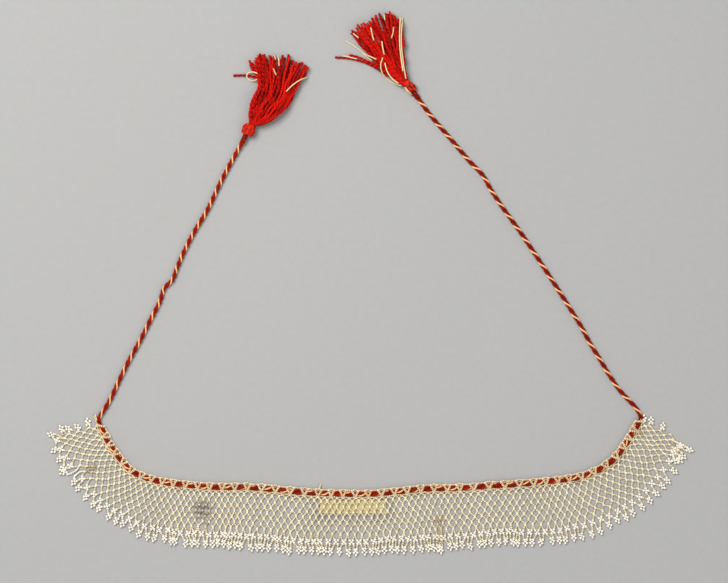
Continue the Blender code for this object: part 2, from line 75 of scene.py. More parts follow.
def in_scene(name, data):
    """Puts a new object into the scene."""
    thing = bpy.data.objects.new(name, data)
    bpy.context.collection.objects.link(thing)
    return thing


def mesh_from(name, bm):
    """Makes a mesh of what a bmesh holds, and lets go of the bmesh."""
    mesh = bpy.data.meshes.new(name)
    bm.to_mesh(mesh)
    bm.free()
    return mesh


class Reading:
    """What a shader node gives at a point of the surface, ready for arithmetic."""

    def __init__(self, finish, socket):
        self.finish = finish
        self.socket = socket

    def arithmetic(self, operation, first, second):
        return self.finish.node("ShaderNodeMath", {"operation": operation}, {0: first, 1: second})

    def __add__(self, other):
        return self.arithmetic("ADD", self, other)

    def __sub__(self, other):
        return self.arithmetic("SUBTRACT", self, other)

    def __rsub__(self, other):
        return self.arithmetic("SUBTRACT", other, self)

    def __mul__(self, other):
        return self.arithmetic("MULTIPLY", self, other)


class Finish:
    """A surface finish: a Principled shader and the nodes that feed it."""

    def __init__(self, name, **same_all_over):
        self.material = bpy.data.materials.new(name)
        self.material.use_nodes = True
        self.tree = self.material.node_tree
        self.shader = self.tree.nodes["Principled BSDF"]
        for setting, value in same_all_over.items():
            socket = setting.replace("_", " ").title().replace("Ior", "IOR")
            self.shader.inputs[socket].default_value = value

    def node(self, kind, settings=None, sockets=None, output=0):
        made = self.tree.nodes.new(kind)
        for setting, value in (settings or {}).items():
            setattr(made, setting, value)
        for socket, value in (sockets or {}).items():
            if isinstance(value, Reading):
                self.tree.links.new(value.socket, made.inputs[socket])
            else:
                made.inputs[socket].default_value = value
        return Reading(self, made.outputs[output])

    def where(self):
        return self.node("ShaderNodeTexCoord", output=3)

    def along(self):
        return self.node("ShaderNodeUVMap", {"uv_map": "UVMap"})

    def stretched(self, place, scale):
        return self.node("ShaderNodeMapping", None, {0: place, 3: scale})

    def attribute(self, name):
        return self.node("ShaderNodeAttribute", {"attribute_name": name}, output=2)

    def noise(self, place, scale, detail=2.0):
        return self.node("ShaderNodeTexNoise", None, {0: place, 2: scale, 3: detail})

    def wave(self, place, scale, distortion=0.0):
        settings = {"wave_type": "BANDS", "bands_direction": "DIAGONAL"}
        return self.node("ShaderNodeTexWave", settings, {0: place, 1: scale, 2: distortion}, output=1)

    def mix(self, share, first, second):
        """The first colour where share is 0, and the second where it is 1."""
        first, second = (end if isinstance(end, Reading) else (*end, 1) for end in (first, second))
        return self.node("ShaderNodeMix", {"data_type": "RGBA"}, {0: share, 6: first, 7: second}, 2)

    def feed(self, socket, reading):
        self.tree.links.new(reading.socket, self.shader.inputs[socket])

    def relief(self, height, depth):
        """Raises the surface by up to a depth in millimetres, as bump."""
        bump = self.node("ShaderNodeBump", None, {"Strength": 1.0, "Distance": depth * MM, "Height": height})
        self.feed("Normal", bump)


table = Finish("table_top", roughness=0.75)
table_speckle = table.noise(table.where(), SPECKLE_SCALE, 4.0)
table.feed("Base Color", table.mix(table_speckle, TABLE_COLOUR, TABLE_MOTTLE))
bm = bmesh.new()
bmesh.ops.create_grid(bm, x_segments=1, y_segments=1, size=TABLE_SIZE / 2)
bmesh.ops.translate(bm, vec=(0, 0, -TABLE_DROP * MM), verts=bm.verts)
table_mesh = mesh_from("table_top", bm)
table_mesh.materials.append(table.material)
table_top = in_scene("table_top", table_mesh)

picture_middle = [size / 2 for size in PICTURE_SIZE]
camera = in_scene("camera", bpy.data.cameras.new("camera"))
camera.data.lens = camera.data.sensor_width * CAMERA_HEIGHT / (PICTURE_SIZE[0] * PIXEL)
camera.location = on_sheet(
    (picture_middle[0] - SHEET_ZERO_PIXEL[0]) * PIXEL,
    (SHEET_ZERO_PIXEL[1] - picture_middle[1]) * PIXEL,
    CAMERA_HEIGHT,
)
bpy.context.scene.camera = camera

for name, spot, size, power in LAMPS:
    lamp = in_scene(name, bpy.data.lights.new(name, "AREA"))
    lamp.data.size = size
    lamp.data.energy = power
    lamp.location = spot
    lamp.rotation_euler = (-Vector(spot)).to_track_quat("-Z", "Y").to_euler()
room = bpy.data.worlds.new("room")
room.use_nodes = True
background = room.node_tree.nodes["Background"]
background.inputs["Color"].default_value = (*ROOM_COLOUR, 1)
background.inputs["Strength"].default_value = ROOM_STRENGTH
bpy.context.scene.world = room
bpy.context.scene.view_settings.view_transform = "Standard"


# The free ends of the drawstring. Two fat plies of red silk and a thin gold one, laid up with an
# S twist. They leave the casing's two ends, lie in easy curves on the table and run into the knots.
CORD_DIAMETER = 3.0
CORD_LEFT = (
    # x, y, z from the casing to the knot
    (-181.8, 42.25, 1.65), (-182.1, 43.5, 1.65), (-181.6, 45.6, 1.65), (-180.1, 48.2, 1.65),
    (-178.2, 51.0, 1.65), (-174.5, 57.3, 1.65), (-168.2, 70.7, 1.65), (-161.5, 84.1, 1.65),
    (-154.1, 97.5, 1.65), (-147.4, 110.9, 1.65), (-140.7, 124.3, 1.65), (-138.0, 132.3, 1.65),
    (-132.7, 137.7, 1.65), (-129.6, 145.7, 1.65), (-124.3, 157.8, 1.65), (-117.3, 171.2, 1.65),
    (-109.2, 184.6, 1.65), (-102.8, 198.0, 1.65), (-96.1, 211.4, 1.65), (-89.4, 223.4, 1.9),
    (-83.8, 233.7, 3.6), (-82.2, 237.2, 4.1),
)
CORD_RIGHT = (
    # x, y, z from the casing to the knot
    (181.1, 45.0, 1.65), (180.9, 46.0, 1.65), (180.3, 47.6, 1.65), (179.2, 49.7, 1.65), (177.5, 52.4, 1.65),
    (174.2, 55.9, 1.65), (167.2, 63.3, 1.65), (160.5, 73.0, 1.65), (153.8, 84.1, 1.65), (147.1, 95.1, 1.65),
    (140.4, 107.5, 1.65), (133.7, 118.3, 1.65), (127.0, 129.0, 1.65), (113.6, 149.7, 1.65),
    (100.2, 169.8, 1.65), (86.8, 188.6, 1.65), (80.1, 199.0, 1.65), (75.4, 207.4, 1.65),
    (66.7, 216.7, 1.65), (53.3, 232.5, 1.65), (39.9, 248.2, 1.65), (28.8, 263.2, 2.4), (26.5, 265.9, 3.1),
)
CORD_STEP = 0.7
# Two red plies and the gold one: degrees round the cord, how far off its middle, thickness.
PLIES_LEFT = ((332, 0.76, 1.62), (112, 0.76, 1.62), (222, 0.98, 1.02))
PLIES_RIGHT = ((0, 0.76, 1.6), (140, 0.76, 1.6), (250, 0.98, 1.08))
PLIES_CASING = (*PLIES_RIGHT[:2], (250, 1.02, 0.9))
# How far one turn of the twist runs, at even steps along the cord.
TWIST_LEFT = (10.9, 10.6, 8.4, 8.2, 8.2)
TWIST_RIGHT = (11.0, 9.1)
TWIST_CASING = (15.4, 10.9)


def smooth(stations, values, at):
    """A cubic curve through the values, and straight beyond its ends."""
    stations = np.asarray(stations, float)
    values = np.asarray(values, float)
    steps = np.diff(stations)
    rises = np.diff(values) / steps
    slopes = np.empty(len(values))
    slopes[0], slopes[-1] = rises[0], rises[-1]
    slopes[1:-1] = (rises[:-1] * steps[1:] + rises[1:] * steps[:-1]) / (steps[:-1] + steps[1:])
    if at <= stations[0]:
        return values[0] + slopes[0] * (at - stations[0])
    if at >= stations[-1]:
        return values[-1] + slopes[-1] * (at - stations[-1])
    i = int(np.searchsorted(stations, at, side="right")) - 1
    t = (at - stations[i]) / steps[i]
    start = values[i] * (1 + 2 * t) + slopes[i] * steps[i] * t
    end = values[i + 1] * (3 - 2 * t) - slopes[i + 1] * steps[i] * (1 - t)
    return start * (1 - t) ** 2 + end * t**2


def run_of(points):
    """How far along a line of points each of them lies."""
    return np.concatenate([[0.0], np.cumsum(np.linalg.norm(np.diff(points, axis=0), axis=1))])


def unit(way):
    """A direction made one millimetre long."""
    return way / np.linalg.norm(way)


def units(ways):
    """Rows of directions, each made one millimetre long."""
    return ways / np.linalg.norm(ways, axis=1)[:, None]


def beside(way):
    """The level direction to the left of a way."""
    return np.array((-way[1], way[0], 0.0))


def up(height):
    """A step straight up."""
    return np.array((0.0, 0.0, height))


def eased(route, step):
    """A smooth line through a route's points, with a point about every step."""
    route = np.asarray(route, float)
    run = run_of(route)
    stations = np.linspace(0, run[-1], max(3, round(run[-1] / step) + 1))
    return np.array([[smooth(run, column, at) for column in route.T] for at in stations])


def plied(line, twist, degrees, off):
    """The line of one ply of an S twist round a line. Twist is its pitch at even steps along it."""
    off = np.broadcast_to(off, len(line))[:, None]
    line = np.asarray(line, float)
    ahead = units(np.gradient(line, axis=0))
    right = units(np.cross(ahead, (0, 0, 1)))
    above = np.cross(right, ahead)
    run = run_of(line)
    pitch = np.interp(run, np.linspace(0, run[-1], len(twist)), twist)
    turns = np.cumsum(np.diff(run) / ((pitch[1:] + pitch[:-1]) / 2))
    turn = np.concatenate([[0.0], turns]) * 2 * math.pi + math.radians(degrees)
    return line + off * (right * np.cos(turn)[:, None] + above * np.sin(turn)[:, None])


def finished(name, mesh, look, nodes):
    """Makes a mesh a piece of the collar, which stands for the CAD nodes named."""
    mesh.materials.clear()
    mesh.materials.append(look.material)
    piece = in_scene(name, mesh)
    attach(piece, "root")
    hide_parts(*nodes)
    return piece


strand_draw = np.random.default_rng(7)


def strands(name, lines, thickness, sides, look, nodes, swells=None):
    """Round strands along lines of the sheet, as one piece, each with a tone of its own.

    The UV map runs along each strand, in about millimetres.
    """
    curve = bpy.data.curves.new(name, "CURVE")
    curve.dimensions = "3D"
    curve.bevel_depth = thickness / 2 * MM
    curve.bevel_resolution = sides // 2 - 2
    curve.use_fill_caps = True
    for k, line in enumerate(lines):
        spline = curve.splines.new("POLY")
        spline.points.add(len(line) - 1)
        places = np.ones((len(line), 4))
        places[:, :3] = (np.asarray(line) - (*COLLAR_CENTRE, 0)) * MM
        spline.points.foreach_set("co", places.ravel())
        if swells is not None:
            spline.points.foreach_set("radius", np.asarray(swells[k], float))
        spline.use_smooth = True
    holder = bpy.data.objects.new(name, curve)
    mesh = bpy.data.meshes.new_from_object(holder)
    bpy.data.objects.remove(holder)
    bpy.data.curves.remove(curve)
    bm = bmesh.new()
    bm.from_mesh(mesh)
    bmesh.ops.remove_doubles(bm, verts=bm.verts, dist=0.0002 * MM)
    uv = bm.loops.layers.uv.active
    usual = float(np.mean([run_of(np.asarray(line))[-1] for line in lines]))
    tone = bm.faces.layers.float.new("tone")
    for first in bm.faces:
        if first[tone]:
            continue
        first[tone] = strand_draw.uniform(0.05, 1)
        spread = [first]
        while spread:
            face = spread.pop()
            for loop in face.loops:
                loop[uv].uv.x *= usual
                for neighbour in loop.edge.link_faces:
                    if not neighbour[tone]:
                        neighbour[tone] = face[tone]
                        spread.append(neighbour)
    bm.to_mesh(mesh)
    bm.free()
    return finished(name, mesh, look, nodes)


def silk(name, colour, shade, spread=0.4):
    """Twisted silk: fine fibres that slant round the strand. Its base colour is painted lighter along fibre
    streaks, as painted highlight where they would catch the light, and darker as painted shade, and it also
    varies with each strand's own tone.
    """
    look = Finish(name, specular_ior_level=0.35, specular_tint=(*np.sqrt(colour), 1))
    fibres = look.noise(look.stretched(look.along(), (1.1, 9.0, 1.0)), 3.0, 4.0)
    slant = look.wave(look.stretched(look.along(), (1.6, 3.0, 1.0)), 1.0, 1.2)
    cloud = look.noise(look.where(), 190.0, 3.0)
    share = fibres * 0.7 + cloud * 0.55 + (look.attribute("tone") - 0.5) * spread - 0.15
    # Painted highlight and painted shade: fibre and cloud noise mix the shade colour and the light colour;
    # the strand's tone is its own.
    look.feed("Base Color", look.mix(share, shade, colour))
    look.feed("Roughness", 0.62 - fibres * 0.25)
    look.relief(fibres * 0.6 + slant * 0.4, 0.09)
    return look


# Each silk is given a light colour and a dark one, which silk() mixes as painted highlight and painted
# shade.
RED_SILK = silk("red_silk", (0.31, 0.009, 0.003), (0.08, 0.002, 0.001))
GOLD_SILK = silk("gold_silk", (0.84, 0.51, 0.23), (0.52, 0.26, 0.075))


def laid_up(name, line, plies, twist, swell=1.0):
    """A cord of two red plies and a gold one along a line, as a red piece and a gold one."""
    swell = np.broadcast_to(swell, len(line))
    pieces = []
    for colour, look, rows in (("red", RED_SILK, plies[:2]), ("gold", GOLD_SILK, plies[2:])):
        piece = f"{name}_{colour}_silk"
        lines = [plied(line, twist, degrees, off * swell) for degrees, off, _ in rows]
        swells = [swell] * len(rows)
        pieces.append(strands(piece, lines, rows[0][2], 8, look, [name], swells))
    return pieces


left_line = eased(CORD_LEFT, CORD_STEP)
right_line = eased(CORD_RIGHT, CORD_STEP)
left_cord, left_gold = laid_up("cord_left", left_line, PLIES_LEFT, TWIST_LEFT)
right_cord, right_gold = laid_up("cord_right", right_line, PLIES_RIGHT, TWIST_RIGHT)


# The tassels. Cut lengths of two-ply red silk yarn with a few cream threads, gathered into a knot at
# the end of the cord. They lie on their side, fanned out on the table, with a few yarns gone astray.
# The edges and tips of a fan are x, y round it. Its body is rows of a share of the way to the tips,
# the height of the fan's middle there and half its height. The balls of a knot are rows of x, y, z
# and three half widths. The knot gives the cord's heading there in degrees, and the turns of yarn
# over each ball. Strays are rows of x, y, z along each yarn.
TASSELS = {
    "tassel_left": {
        "left_edge": (
            (-81.9, 239.6), (-80.9, 243.0), (-81.2, 248.2), (-80.1, 254.9), (-77.6, 260.3), (-76.0, 265.0),
            (-75.4, 269.7), (-76.0, 273.0), (-78.1, 276.4), (-80.3, 280.5), (-82.1, 284.6),
        ),
        "right_edge": (
            (-79.2, 239.0), (-77.0, 240.9), (-72.7, 241.7), (-66.0, 244.6), (-60.6, 248.6), (-55.9, 252.9),
            (-53.3, 257.6), (-51.3, 261.6), (-49.2, 266.3), (-47.2, 269.7), (-43.6, 274.9), (-41.2, 279.0),
        ),
        "tips": (
            (-78.4, 285.4), (-73.2, 290.0), (-70.0, 287.1), (-67.3, 287.6), (-63.0, 288.2), (-58.6, 287.8),
            (-54.4, 288.8), (-50.6, 285.0), (-46.6, 283.7), (-43.4, 281.7),
        ),
        "body": ((0.0, 4.1, 2.3), (0.1, 4.2, 3.6), (0.28, 4.5, 4.3), (0.6, 3.6, 3.1), (1.0, 2.9, 2.5)),
        "layers": (15, 16, 17),
        "thickness": 1.9,
        "cord": left_line,
        "balls": ((-81.4, 237.9, 4.3, 4.9, 4.7, 4.1),),
        "knot": (65.7, 12),
        "strays": (
            (
                (-73.6, 263.0, 3.6), (-74.4, 269.0, 3.2), (-77.2, 273.2, 2.4), (-82.0, 274.5, 1.5),
                (-86.8, 274.7, 1.1), (-91.6, 274.5, 1.0),
            ),
        ),
    },
    "tassel_right": {
        "left_edge": (
            (22.9, 267.4), (20.4, 268.5), (16.6, 271.0), (10.9, 276.1), (6.4, 280.0), (1.3, 285.1),
            (-5.0, 292.1), (-13.0, 300.6),
        ),
        "right_edge": (
            (24.9, 269.0), (24.6, 271.6), (23.6, 277.4), (22.6, 286.3), (23.0, 296.0), (22.7, 302.0),
            (21.6, 313.4),
        ),
        "tips": (
            (-12.4, 306.0), (-8.5, 308.6), (-3.1, 310.5), (0.1, 312.2), (3.7, 316.0), (9.0, 315.0),
            (12.2, 318.0), (15.3, 315.4), (17.8, 313.7),
        ),
        "body": ((0.0, 3.1, 2.0), (0.12, 3.6, 3.2), (0.45, 3.4, 2.9), (1.0, 2.8, 2.4)),
        "layers": (14, 15, 16),
        "thickness": 1.8,
        "cord": right_line,
        "balls": ((27.3, 266.5, 3.4, 3.7, 3.1, 3.0), (24.0, 269.6, 3.3, 2.2, 2.7, 2.6)),
        "knot": (128.0, 9),
        "strays": (
            (
                (19.5, 269.6, 2.6), (10.4, 275.2, 2.4), (3.9, 279.4, 2.0), (-1.8, 282.5, 1.5),
                (-9.4, 285.0, 1.1), (-17.1, 286.4, 1.0), (-23.6, 286.7, 1.0),
            ),
            (
                (20.5, 270.6, 3.0), (12.4, 276.2, 2.8), (3.9, 281.3, 2.6), (-3.2, 284.6, 2.4),
                (-8.4, 286.9, 1.8), (-14.4, 288.4, 1.0),
            ),
        ),
    },
}
YARN_TWIST = (3.2,)
YARN_POINTS = 86
YARN_STEP = 0.6
PLY_OFF, PLY_THICKNESS = 0.25, 0.52
LAYER_RISE = 0.72
# How thick a yarn is at the knot, along its middle and at its cut end, and how soon that changes.
YARN_SWELLS = (0.62, 1.0, 1.0, 1.12)
TAPER_ALONG, CUT_END = 11.0, 1.5
# How a yarn strays: its drift across the fan, and its sway, which is less near the knot and upwards.
DRIFT = 0.035
EDGE_ROOM = 0.015
SWAY, SWAY_GROWS, SWAY_UP = 0.5, 4, 0.6
SWAY_PACE = (14, 26)
EDGE_THINNED = 0.5
CLEARANCE = 0.05
KNOT_YARN = 1.3
KNOT_STEPS = 36
# A winding's swing from turn to turn, how near the ball's ends and sides it comes, and its unevenness.
KNOT_SWING = 0.381966
KNOT_ENDS, KNOT_SIDES = 0.72, 0.69
KNOT_UNEVEN, KNOT_UNEVEN_PACE = 0.1, 0.83
DRAPE_STEP, DRAPE_REACH = 0.8, 1.5
tassel_draw = np.random.default_rng(11)


def part_way(line, share):
    """The point some share of the way along a line of points."""
    run = run_of(line)
    return np.array([np.interp(share * run[-1], run, column) for column in line.T])


class Bundle:
    """A tassel's cut yarns, spread out between the two edges of its fan."""

    def __init__(self, spec):
        self.edges = [eased(spec[edge], 1.0) for edge in ("left_edge", "right_edge")]
        self.tips = np.array([spec["left_edge"][-1], *spec["tips"], spec["right_edge"][-1]])
        self.body = np.array(spec["body"]).T
        self.layers = spec["layers"]
        self.thickness = spec["thickness"]

    def spot(self, across, share):
        """A place between the edges, some share of the way from the knot to the tips."""
        left, right = (part_way(edge, share) for edge in self.edges)
        full = self.edges[0][-1] * (1 - across) + self.edges[1][-1] * across
        return left * (1 - across) + right * across + (part_way(self.tips, across) - full) * share**3

    def yarn(self, across, up):
        """The line of a yarn from the knot to its cut end, a little wavy and drifting to one side."""
        drift = tassel_draw.normal(0, DRIFT)
        last = 1 - abs(tassel_draw.normal(0, DRIFT))
        pace = tassel_draw.uniform(*SWAY_PACE, 2)
        phase = tassel_draw.uniform(0, 2 * math.pi, 2)
        points = []
        for share in np.linspace(0, last, YARN_POINTS):
            at = min(1 - EDGE_ROOM, max(EDGE_ROOM, across + drift * share))
            loose = SWAY * min(1.0, share * SWAY_GROWS)
            x, y = self.spot(at, share) + loose * np.sin(share * pace + phase)
            middle, half = (smooth(self.body[0], column, share) for column in self.body[1:])
            half *= math.sqrt(1 - EDGE_THINNED * (2 * at - 1) ** 2)
            height = middle + up * half + SWAY_UP * loose * math.sin(share * pace[1] + phase[0])
            points.append((x, y, max(self.thickness / 2 + CLEARANCE, height)))
        return np.array(points)


def two_ply(lines, thickness):
    """Both plies of each yarn along a line."""
    off = thickness * PLY_OFF
    return [plied(line, YARN_TWIST, degrees, off) for line in lines for degrees in (0, 180)]


def tapered(line):
    """How a yarn's thickness changes from the knot to its cut end."""
    run = run_of(line)
    return np.interp(run, (0, TAPER_ALONG, run[-1] - CUT_END, run[-1]), YARN_SWELLS)


def wound(ball, heading, turns):
    """Yarn wound over a ball, each turn across the one before. It lies uneven, as it was tied."""
    x, y, z, *half = ball
    heading = math.radians(heading)
    ahead = np.array((math.cos(heading), math.sin(heading), 0.0))
    right = np.array((math.sin(heading), -math.cos(heading), 0.0))
    points = []
    for step in np.linspace(0, turns * 2 * math.pi, turns * KNOT_STEPS):
        swing = step * KNOT_SWING
        level = math.cos(step) * KNOT_SIDES
        over = np.array((math.cos(step) * KNOT_ENDS, level * math.cos(swing), level * math.sin(swing)))
        over += math.sin(step) * np.array((0.0, -math.sin(swing), math.cos(swing)))
        uneven = 1 + KNOT_UNEVEN * math.sin(step * KNOT_UNEVEN_PACE)
        over *= (np.array(half) - KNOT_YARN / 2) * uneven
        points.append((x, y, z) + ahead * over[0] + right * over[1] + up(over[2]))
    return np.array(points)


def draped(route, yarns, clear):
    """A fine thread that lies over the yarns, or on the table beside them."""
    line = np.array([(x, y, clear) for x, y in eased(route, DRAPE_STEP)])
    for point in line:
        near = yarns[np.hypot(yarns[:, 0] - point[0], yarns[:, 1] - point[1]) < DRAPE_REACH]
        point[2] = max([clear, *(near[:, 2] + clear)])
    padded = np.pad(line[:, 2], 2, mode="edge")
    line[:, 2] = np.maximum(np.convolve(padded, np.full(5, 0.2), "valid"), clear)
    return line


# Each silk is given a light colour and a dark one, which silk() mixes as painted highlight and painted
# shade.
TASSEL_SILK = silk("tassel_silk", (0.62, 0.009, 0.004), (0.13, 0.002, 0.002), 0.9)
KNOT_SILK = silk("knot_silk", (0.66, 0.026, 0.011), (0.15, 0.004, 0.003), 1.2)
CREAM_THREAD = silk("cream_thread", (0.78, 0.65, 0.39), (0.50, 0.38, 0.17))
PALE_THREADS = {
    # x, y along each thread that lies on top
    "tassel_left": (
        (
            (-75.6, 275.6), (-79.0, 276.7), (-82.2, 276.0), (-82.9, 274.2), (-81.5, 272.0),
            (-79.0, 270.9), (-75.8, 271.8),
        ),
        ((-63.4, 285.0), (-63.9, 286.6), (-64.6, 288.2)),
        ((-61.1, 280.6), (-61.3, 284.4), (-62.0, 287.8)),
        ((-64.9, 278.9), (-63.9, 276.6), (-63.0, 274.4)),
        ((-56.3, 263.5), (-52.9, 267.0), (-47.8, 270.8), (-42.2, 273.5)),
    ),
    "tassel_right": (
        ((-16.7, 297.9), (-9.4, 293.3), (-2.5, 288.2), (3.9, 285.0)),
        ((-5.2, 289.7), (-2.0, 286.8), (0.9, 284.3)),
        ((-18.5, 287.7), (-14.4, 286.9), (-9.2, 285.6)),
        ((21.7, 313.9), (20.8, 305.2), (20.5, 296.5), (21.2, 288.4), (22.1, 281.1), (23.6, 271.9)),
        ((19.9, 312.8), (19.5, 303.8), (19.5, 295.1), (20.3, 286.4), (21.7, 277.0)),
        ((9.0, 315.3), (9.3, 313.0), (9.7, 311.2)),
        ((15.4, 306.6), (15.1, 303.2), (14.0, 299.2)),
        ((0.1, 306.2), (1.0, 302.4), (2.1, 297.6)),
        ((7.6, 297.2), (8.2, 292.5), (9.1, 288.2)),
        ((8.2, 286.2), (6.8, 281.2), (8.4, 275.1), (12.8, 271.0), (17.1, 268.7), (20.6, 267.4)),
        ((9.6, 282.7), (10.9, 277.4), (14.1, 272.4), (18.6, 268.9)),
        ((-11.6, 302.4), (-8.0, 299.4)),
        ((22.9, 266.4), (24.6, 263.7), (27.2, 261.3)),
        ((23.3, 266.2), (25.2, 263.9), (27.7, 261.6)),
    ),
}
PALE_THICKNESS = 0.8
WHIP_LENGTH = 8.5
WHIP_TWIST = (0.7,)
WHIP_THICKNESS, WHIP_STEP = 0.7, 0.12

for name, spec in TASSELS.items():
    bundle = Bundle(spec)
    bare = []
    for layer, count in enumerate(bundle.layers):
        for k in range(count):
            bare.append(bundle.yarn((k + 0.5) / count, (layer - 1) * LAYER_RISE))
    bare += [eased(route, YARN_STEP) for route in spec["strays"]]
    plies = two_ply(bare, bundle.thickness)
    swells = [tapered(line) for line in bare for _ in range(2)]
    ply = bundle.thickness * PLY_THICKNESS
    yarns = strands(f"{name}_yarns", plies, ply, 6, TASSEL_SILK, [name], swells)

    turns = [wound(ball, *spec["knot"]) for ball in spec["balls"]]
    plies = two_ply(turns, KNOT_YARN)
    wrapped = strands(f"{name}_knot", plies, KNOT_YARN * PLY_THICKNESS, 6, KNOT_SILK, [name])

    run = run_of(spec["cord"])
    cord_end = eased(spec["cord"][run > run[-1] - WHIP_LENGTH], WHIP_STEP)
    whip = plied(cord_end, WHIP_TWIST, 0, CORD_DIAMETER / 2 + 0.1)
    whipping = strands(f"{name}_whipping", [whip], WHIP_THICKNESS, 6, RED_SILK, [name])

    tops = np.concatenate([*bare, *turns])
    threads = [draped(route, tops, bundle.thickness / 2 + 0.1) for route in PALE_THREADS[name]]
    pale = strands(f"{name}_cream_threads", threads, PALE_THICKNESS, 6, CREAM_THREAD, [name])


# The drawstring inside its casing, the same cord as its free ends. It passes under a pair of slanting
# strings at each half window and over a bar at each whole one, where it shows in the casing's window.
SECTIONS = (
    # neck x, neck y, string angle and drop, at each half window from -0.5 to 46.5
    (-178.7, 41.9, 197.5, 42.2), (-174.9, 34.0, 196.3, 43.2), (-172.2, 29.0, 208.7, 41.7),
    (-168.4, 23.5, 217.7, 39.7), (-163.8, 17.6, 227.4, 40.5), (-158.7, 12.3, 235.8, 40.2),
    (-152.2, 9.0, 243.1, 40.6), (-145.8, 6.8, 251.8, 43.1), (-138.9, 5.3, 258.3, 43.8),
    (-131.7, 4.1, 263.4, 43.8), (-123.5, 3.3, 263.6, 45.4), (-115.5, 2.5, 265.9, 44.1),
    (-107.6, 1.9, 268.8, 44.7), (-99.3, 1.7, 270.8, 44.3), (-90.8, 1.7, 268.8, 44.5),
    (-82.3, 1.6, 269.1, 46.1), (-72.8, 0.9, 268.3, 45.1), (-63.5, 0.3, 267.6, 45.4),
    (-53.6, -1.0, 265.6, 45.3), (-43.9, -1.7, 265.7, 45.9), (-34.8, -2.3, 265.0, 45.4),
    (-26.1, -2.5, 266.2, 45.2), (-18.5, -2.8, 271.3, 45.0), (-10.4, -3.0, 274.4, 44.9),
    (-1.9, -2.9, 277.1, 44.6), (7.1, -2.3, 277.3, 43.3), (15.6, -1.4, 278.5, 44.3),
    (24.1, -0.6, 279.2, 45.9), (33.3, 0.4, 278.4, 45.6), (42.2, 0.9, 276.2, 46.0),
    (51.2, 1.0, 273.7, 44.8), (59.4, 1.1, 277.2, 45.0), (68.6, 1.6, 278.8, 44.0),
    (79.1, 2.7, 276.8, 43.7), (89.7, 3.2, 274.4, 43.5), (99.4, 3.9, 272.9, 45.0),
    (108.9, 4.6, 274.5, 46.1), (117.0, 5.5, 278.0, 47.0), (124.9, 6.2, 281.1, 45.6),
    (132.1, 7.2, 287.6, 45.7), (139.9, 8.7, 294.7, 43.7), (148.2, 11.4, 301.4, 42.7),
    (156.2, 15.8, 305.2, 42.4), (162.8, 21.6, 311.2, 42.4), (167.4, 27.7, 318.6, 42.5),
    (170.9, 33.1, 329.9, 42.9), (174.2, 38.5, 332.6, 42.2), (177.9, 45.1, 333.5, 43.6),
)
WINDOWS = 47
FIRST_WINDOW = -0.5
LAST_WINDOW = FIRST_WINDOW + WINDOWS
HEADER_DEPTH = 6.0
NOMINAL_DROP = 44.8
CASING_DEPTH = 2.75
CORD_UNDER, CORD_OVER = 1.5, 2.7
CASING_RISE = 0.45
SQUEEZE, SWELL = 0.66, 1.22
CORD_OVERHANG = 0.16
CASING_POINTS = 640
SECTION_WINDOWS = FIRST_WINDOW + np.arange(WINDOWS + 1)
SURVEY_STEP = 0.025
SURVEY = np.arange(FIRST_WINDOW - 0.5, LAST_WINDOW + 0.501, SURVEY_STEP)
survey_table = np.array(
    [[smooth(SECTION_WINDOWS, column, at) for column in zip(*SECTIONS)] for at in SURVEY]
)


def string_frame(window):
    """Where the neck edge is at a window, the way down the strings, and their drop."""
    neck_x, neck_y, angle, drop = (np.interp(window, SURVEY, column) for column in survey_table.T)
    turn = math.radians(angle)
    return np.array((neck_x, neck_y, 0.0)), np.array((math.cos(turn), math.sin(turn), 0.0)), drop


def way_down(window):
    """The way down the strings at a window."""
    return string_frame(window)[1]


def place(window, depth, height=0.0, aside=0.0):
    """A point of the collar, a depth below the neck edge. Aside moves it along the edge."""
    neck, down, drop = string_frame(window)
    if depth > HEADER_DEPTH:
        below = (depth - HEADER_DEPTH) * (drop - HEADER_DEPTH) / (NOMINAL_DROP - HEADER_DEPTH)
        depth = HEADER_DEPTH + below
    return neck + down * depth + beside(down) * aside + up(height)


def casing_height(window):
    """Height of the drawstring's middle: low under the slanting strings, high over the bars."""
    return CORD_UNDER + (CORD_OVER - CORD_UNDER) * math.cos(math.pi * window) ** 2


def casing_swell(window):
    """How thick the drawstring is: slanting strings squeeze it, and it swells between them."""
    return SQUEEZE + (SWELL - SQUEEZE) * np.cos(math.pi * window) ** 2


def casing_depth(window):
    """How far the drawstring's middle lies below the neck edge: less under the slanting strings."""
    return CASING_DEPTH - CASING_RISE * math.sin(math.pi * window) ** 2


casing_windows = np.linspace(FIRST_WINDOW - CORD_OVERHANG, LAST_WINDOW + CORD_OVERHANG, CASING_POINTS)
casing_line = np.array([place(w, casing_depth(w), casing_height(w)) for w in casing_windows])
laid_up("drawstring_threaded", casing_line, PLIES_CASING, TWIST_CASING, casing_swell(casing_windows))


# The netting. Strings of clear seed beads on cream thread run down from the casing in pairs, and each
# two that meet pass through one white bead, three clear beads apart. One string is broken.
CROSSING_SIZE = (1.55, 1.2)
CLEAR_SIZE = (1.45, 1.12)
CROSSING_REACH, CROSSING_ASIDE = 0.38, 0.13
LEG_SAG, LEG_BOW = 0.12, 0.12
SIZE_VARIES, TONE_VARIES = 0.045, 0.22
# A string takes one more bead where it lacks room for only this share of it, and its beads are
# at most so much longer where there is room to spare.
SQUEEZED_IN, DRAWN_OUT = 0.35, 1.25
STRING_TONE = (0.25, 0.8)
THREAD_THICKNESS = 0.3
STAINS = (
    # x, y, radius, how brown at its middle
    (-112.5, -16.5, 7.0, 0.95), (-110.0, -26.0, 3.2, 0.5), (45.0, -24.0, 3.5, 0.55),
    (45.5, -35.0, 4.5, 0.6), (-185.5, 13.0, 3.0, 0.55), (-189.0, 10.0, 3.4, 0.7),
    (180.5, 35.5, 2.6, 0.5), (203.0, 27.5, 3.4, 0.6), (138.0, 2.4, 2.6, 0.5),
)
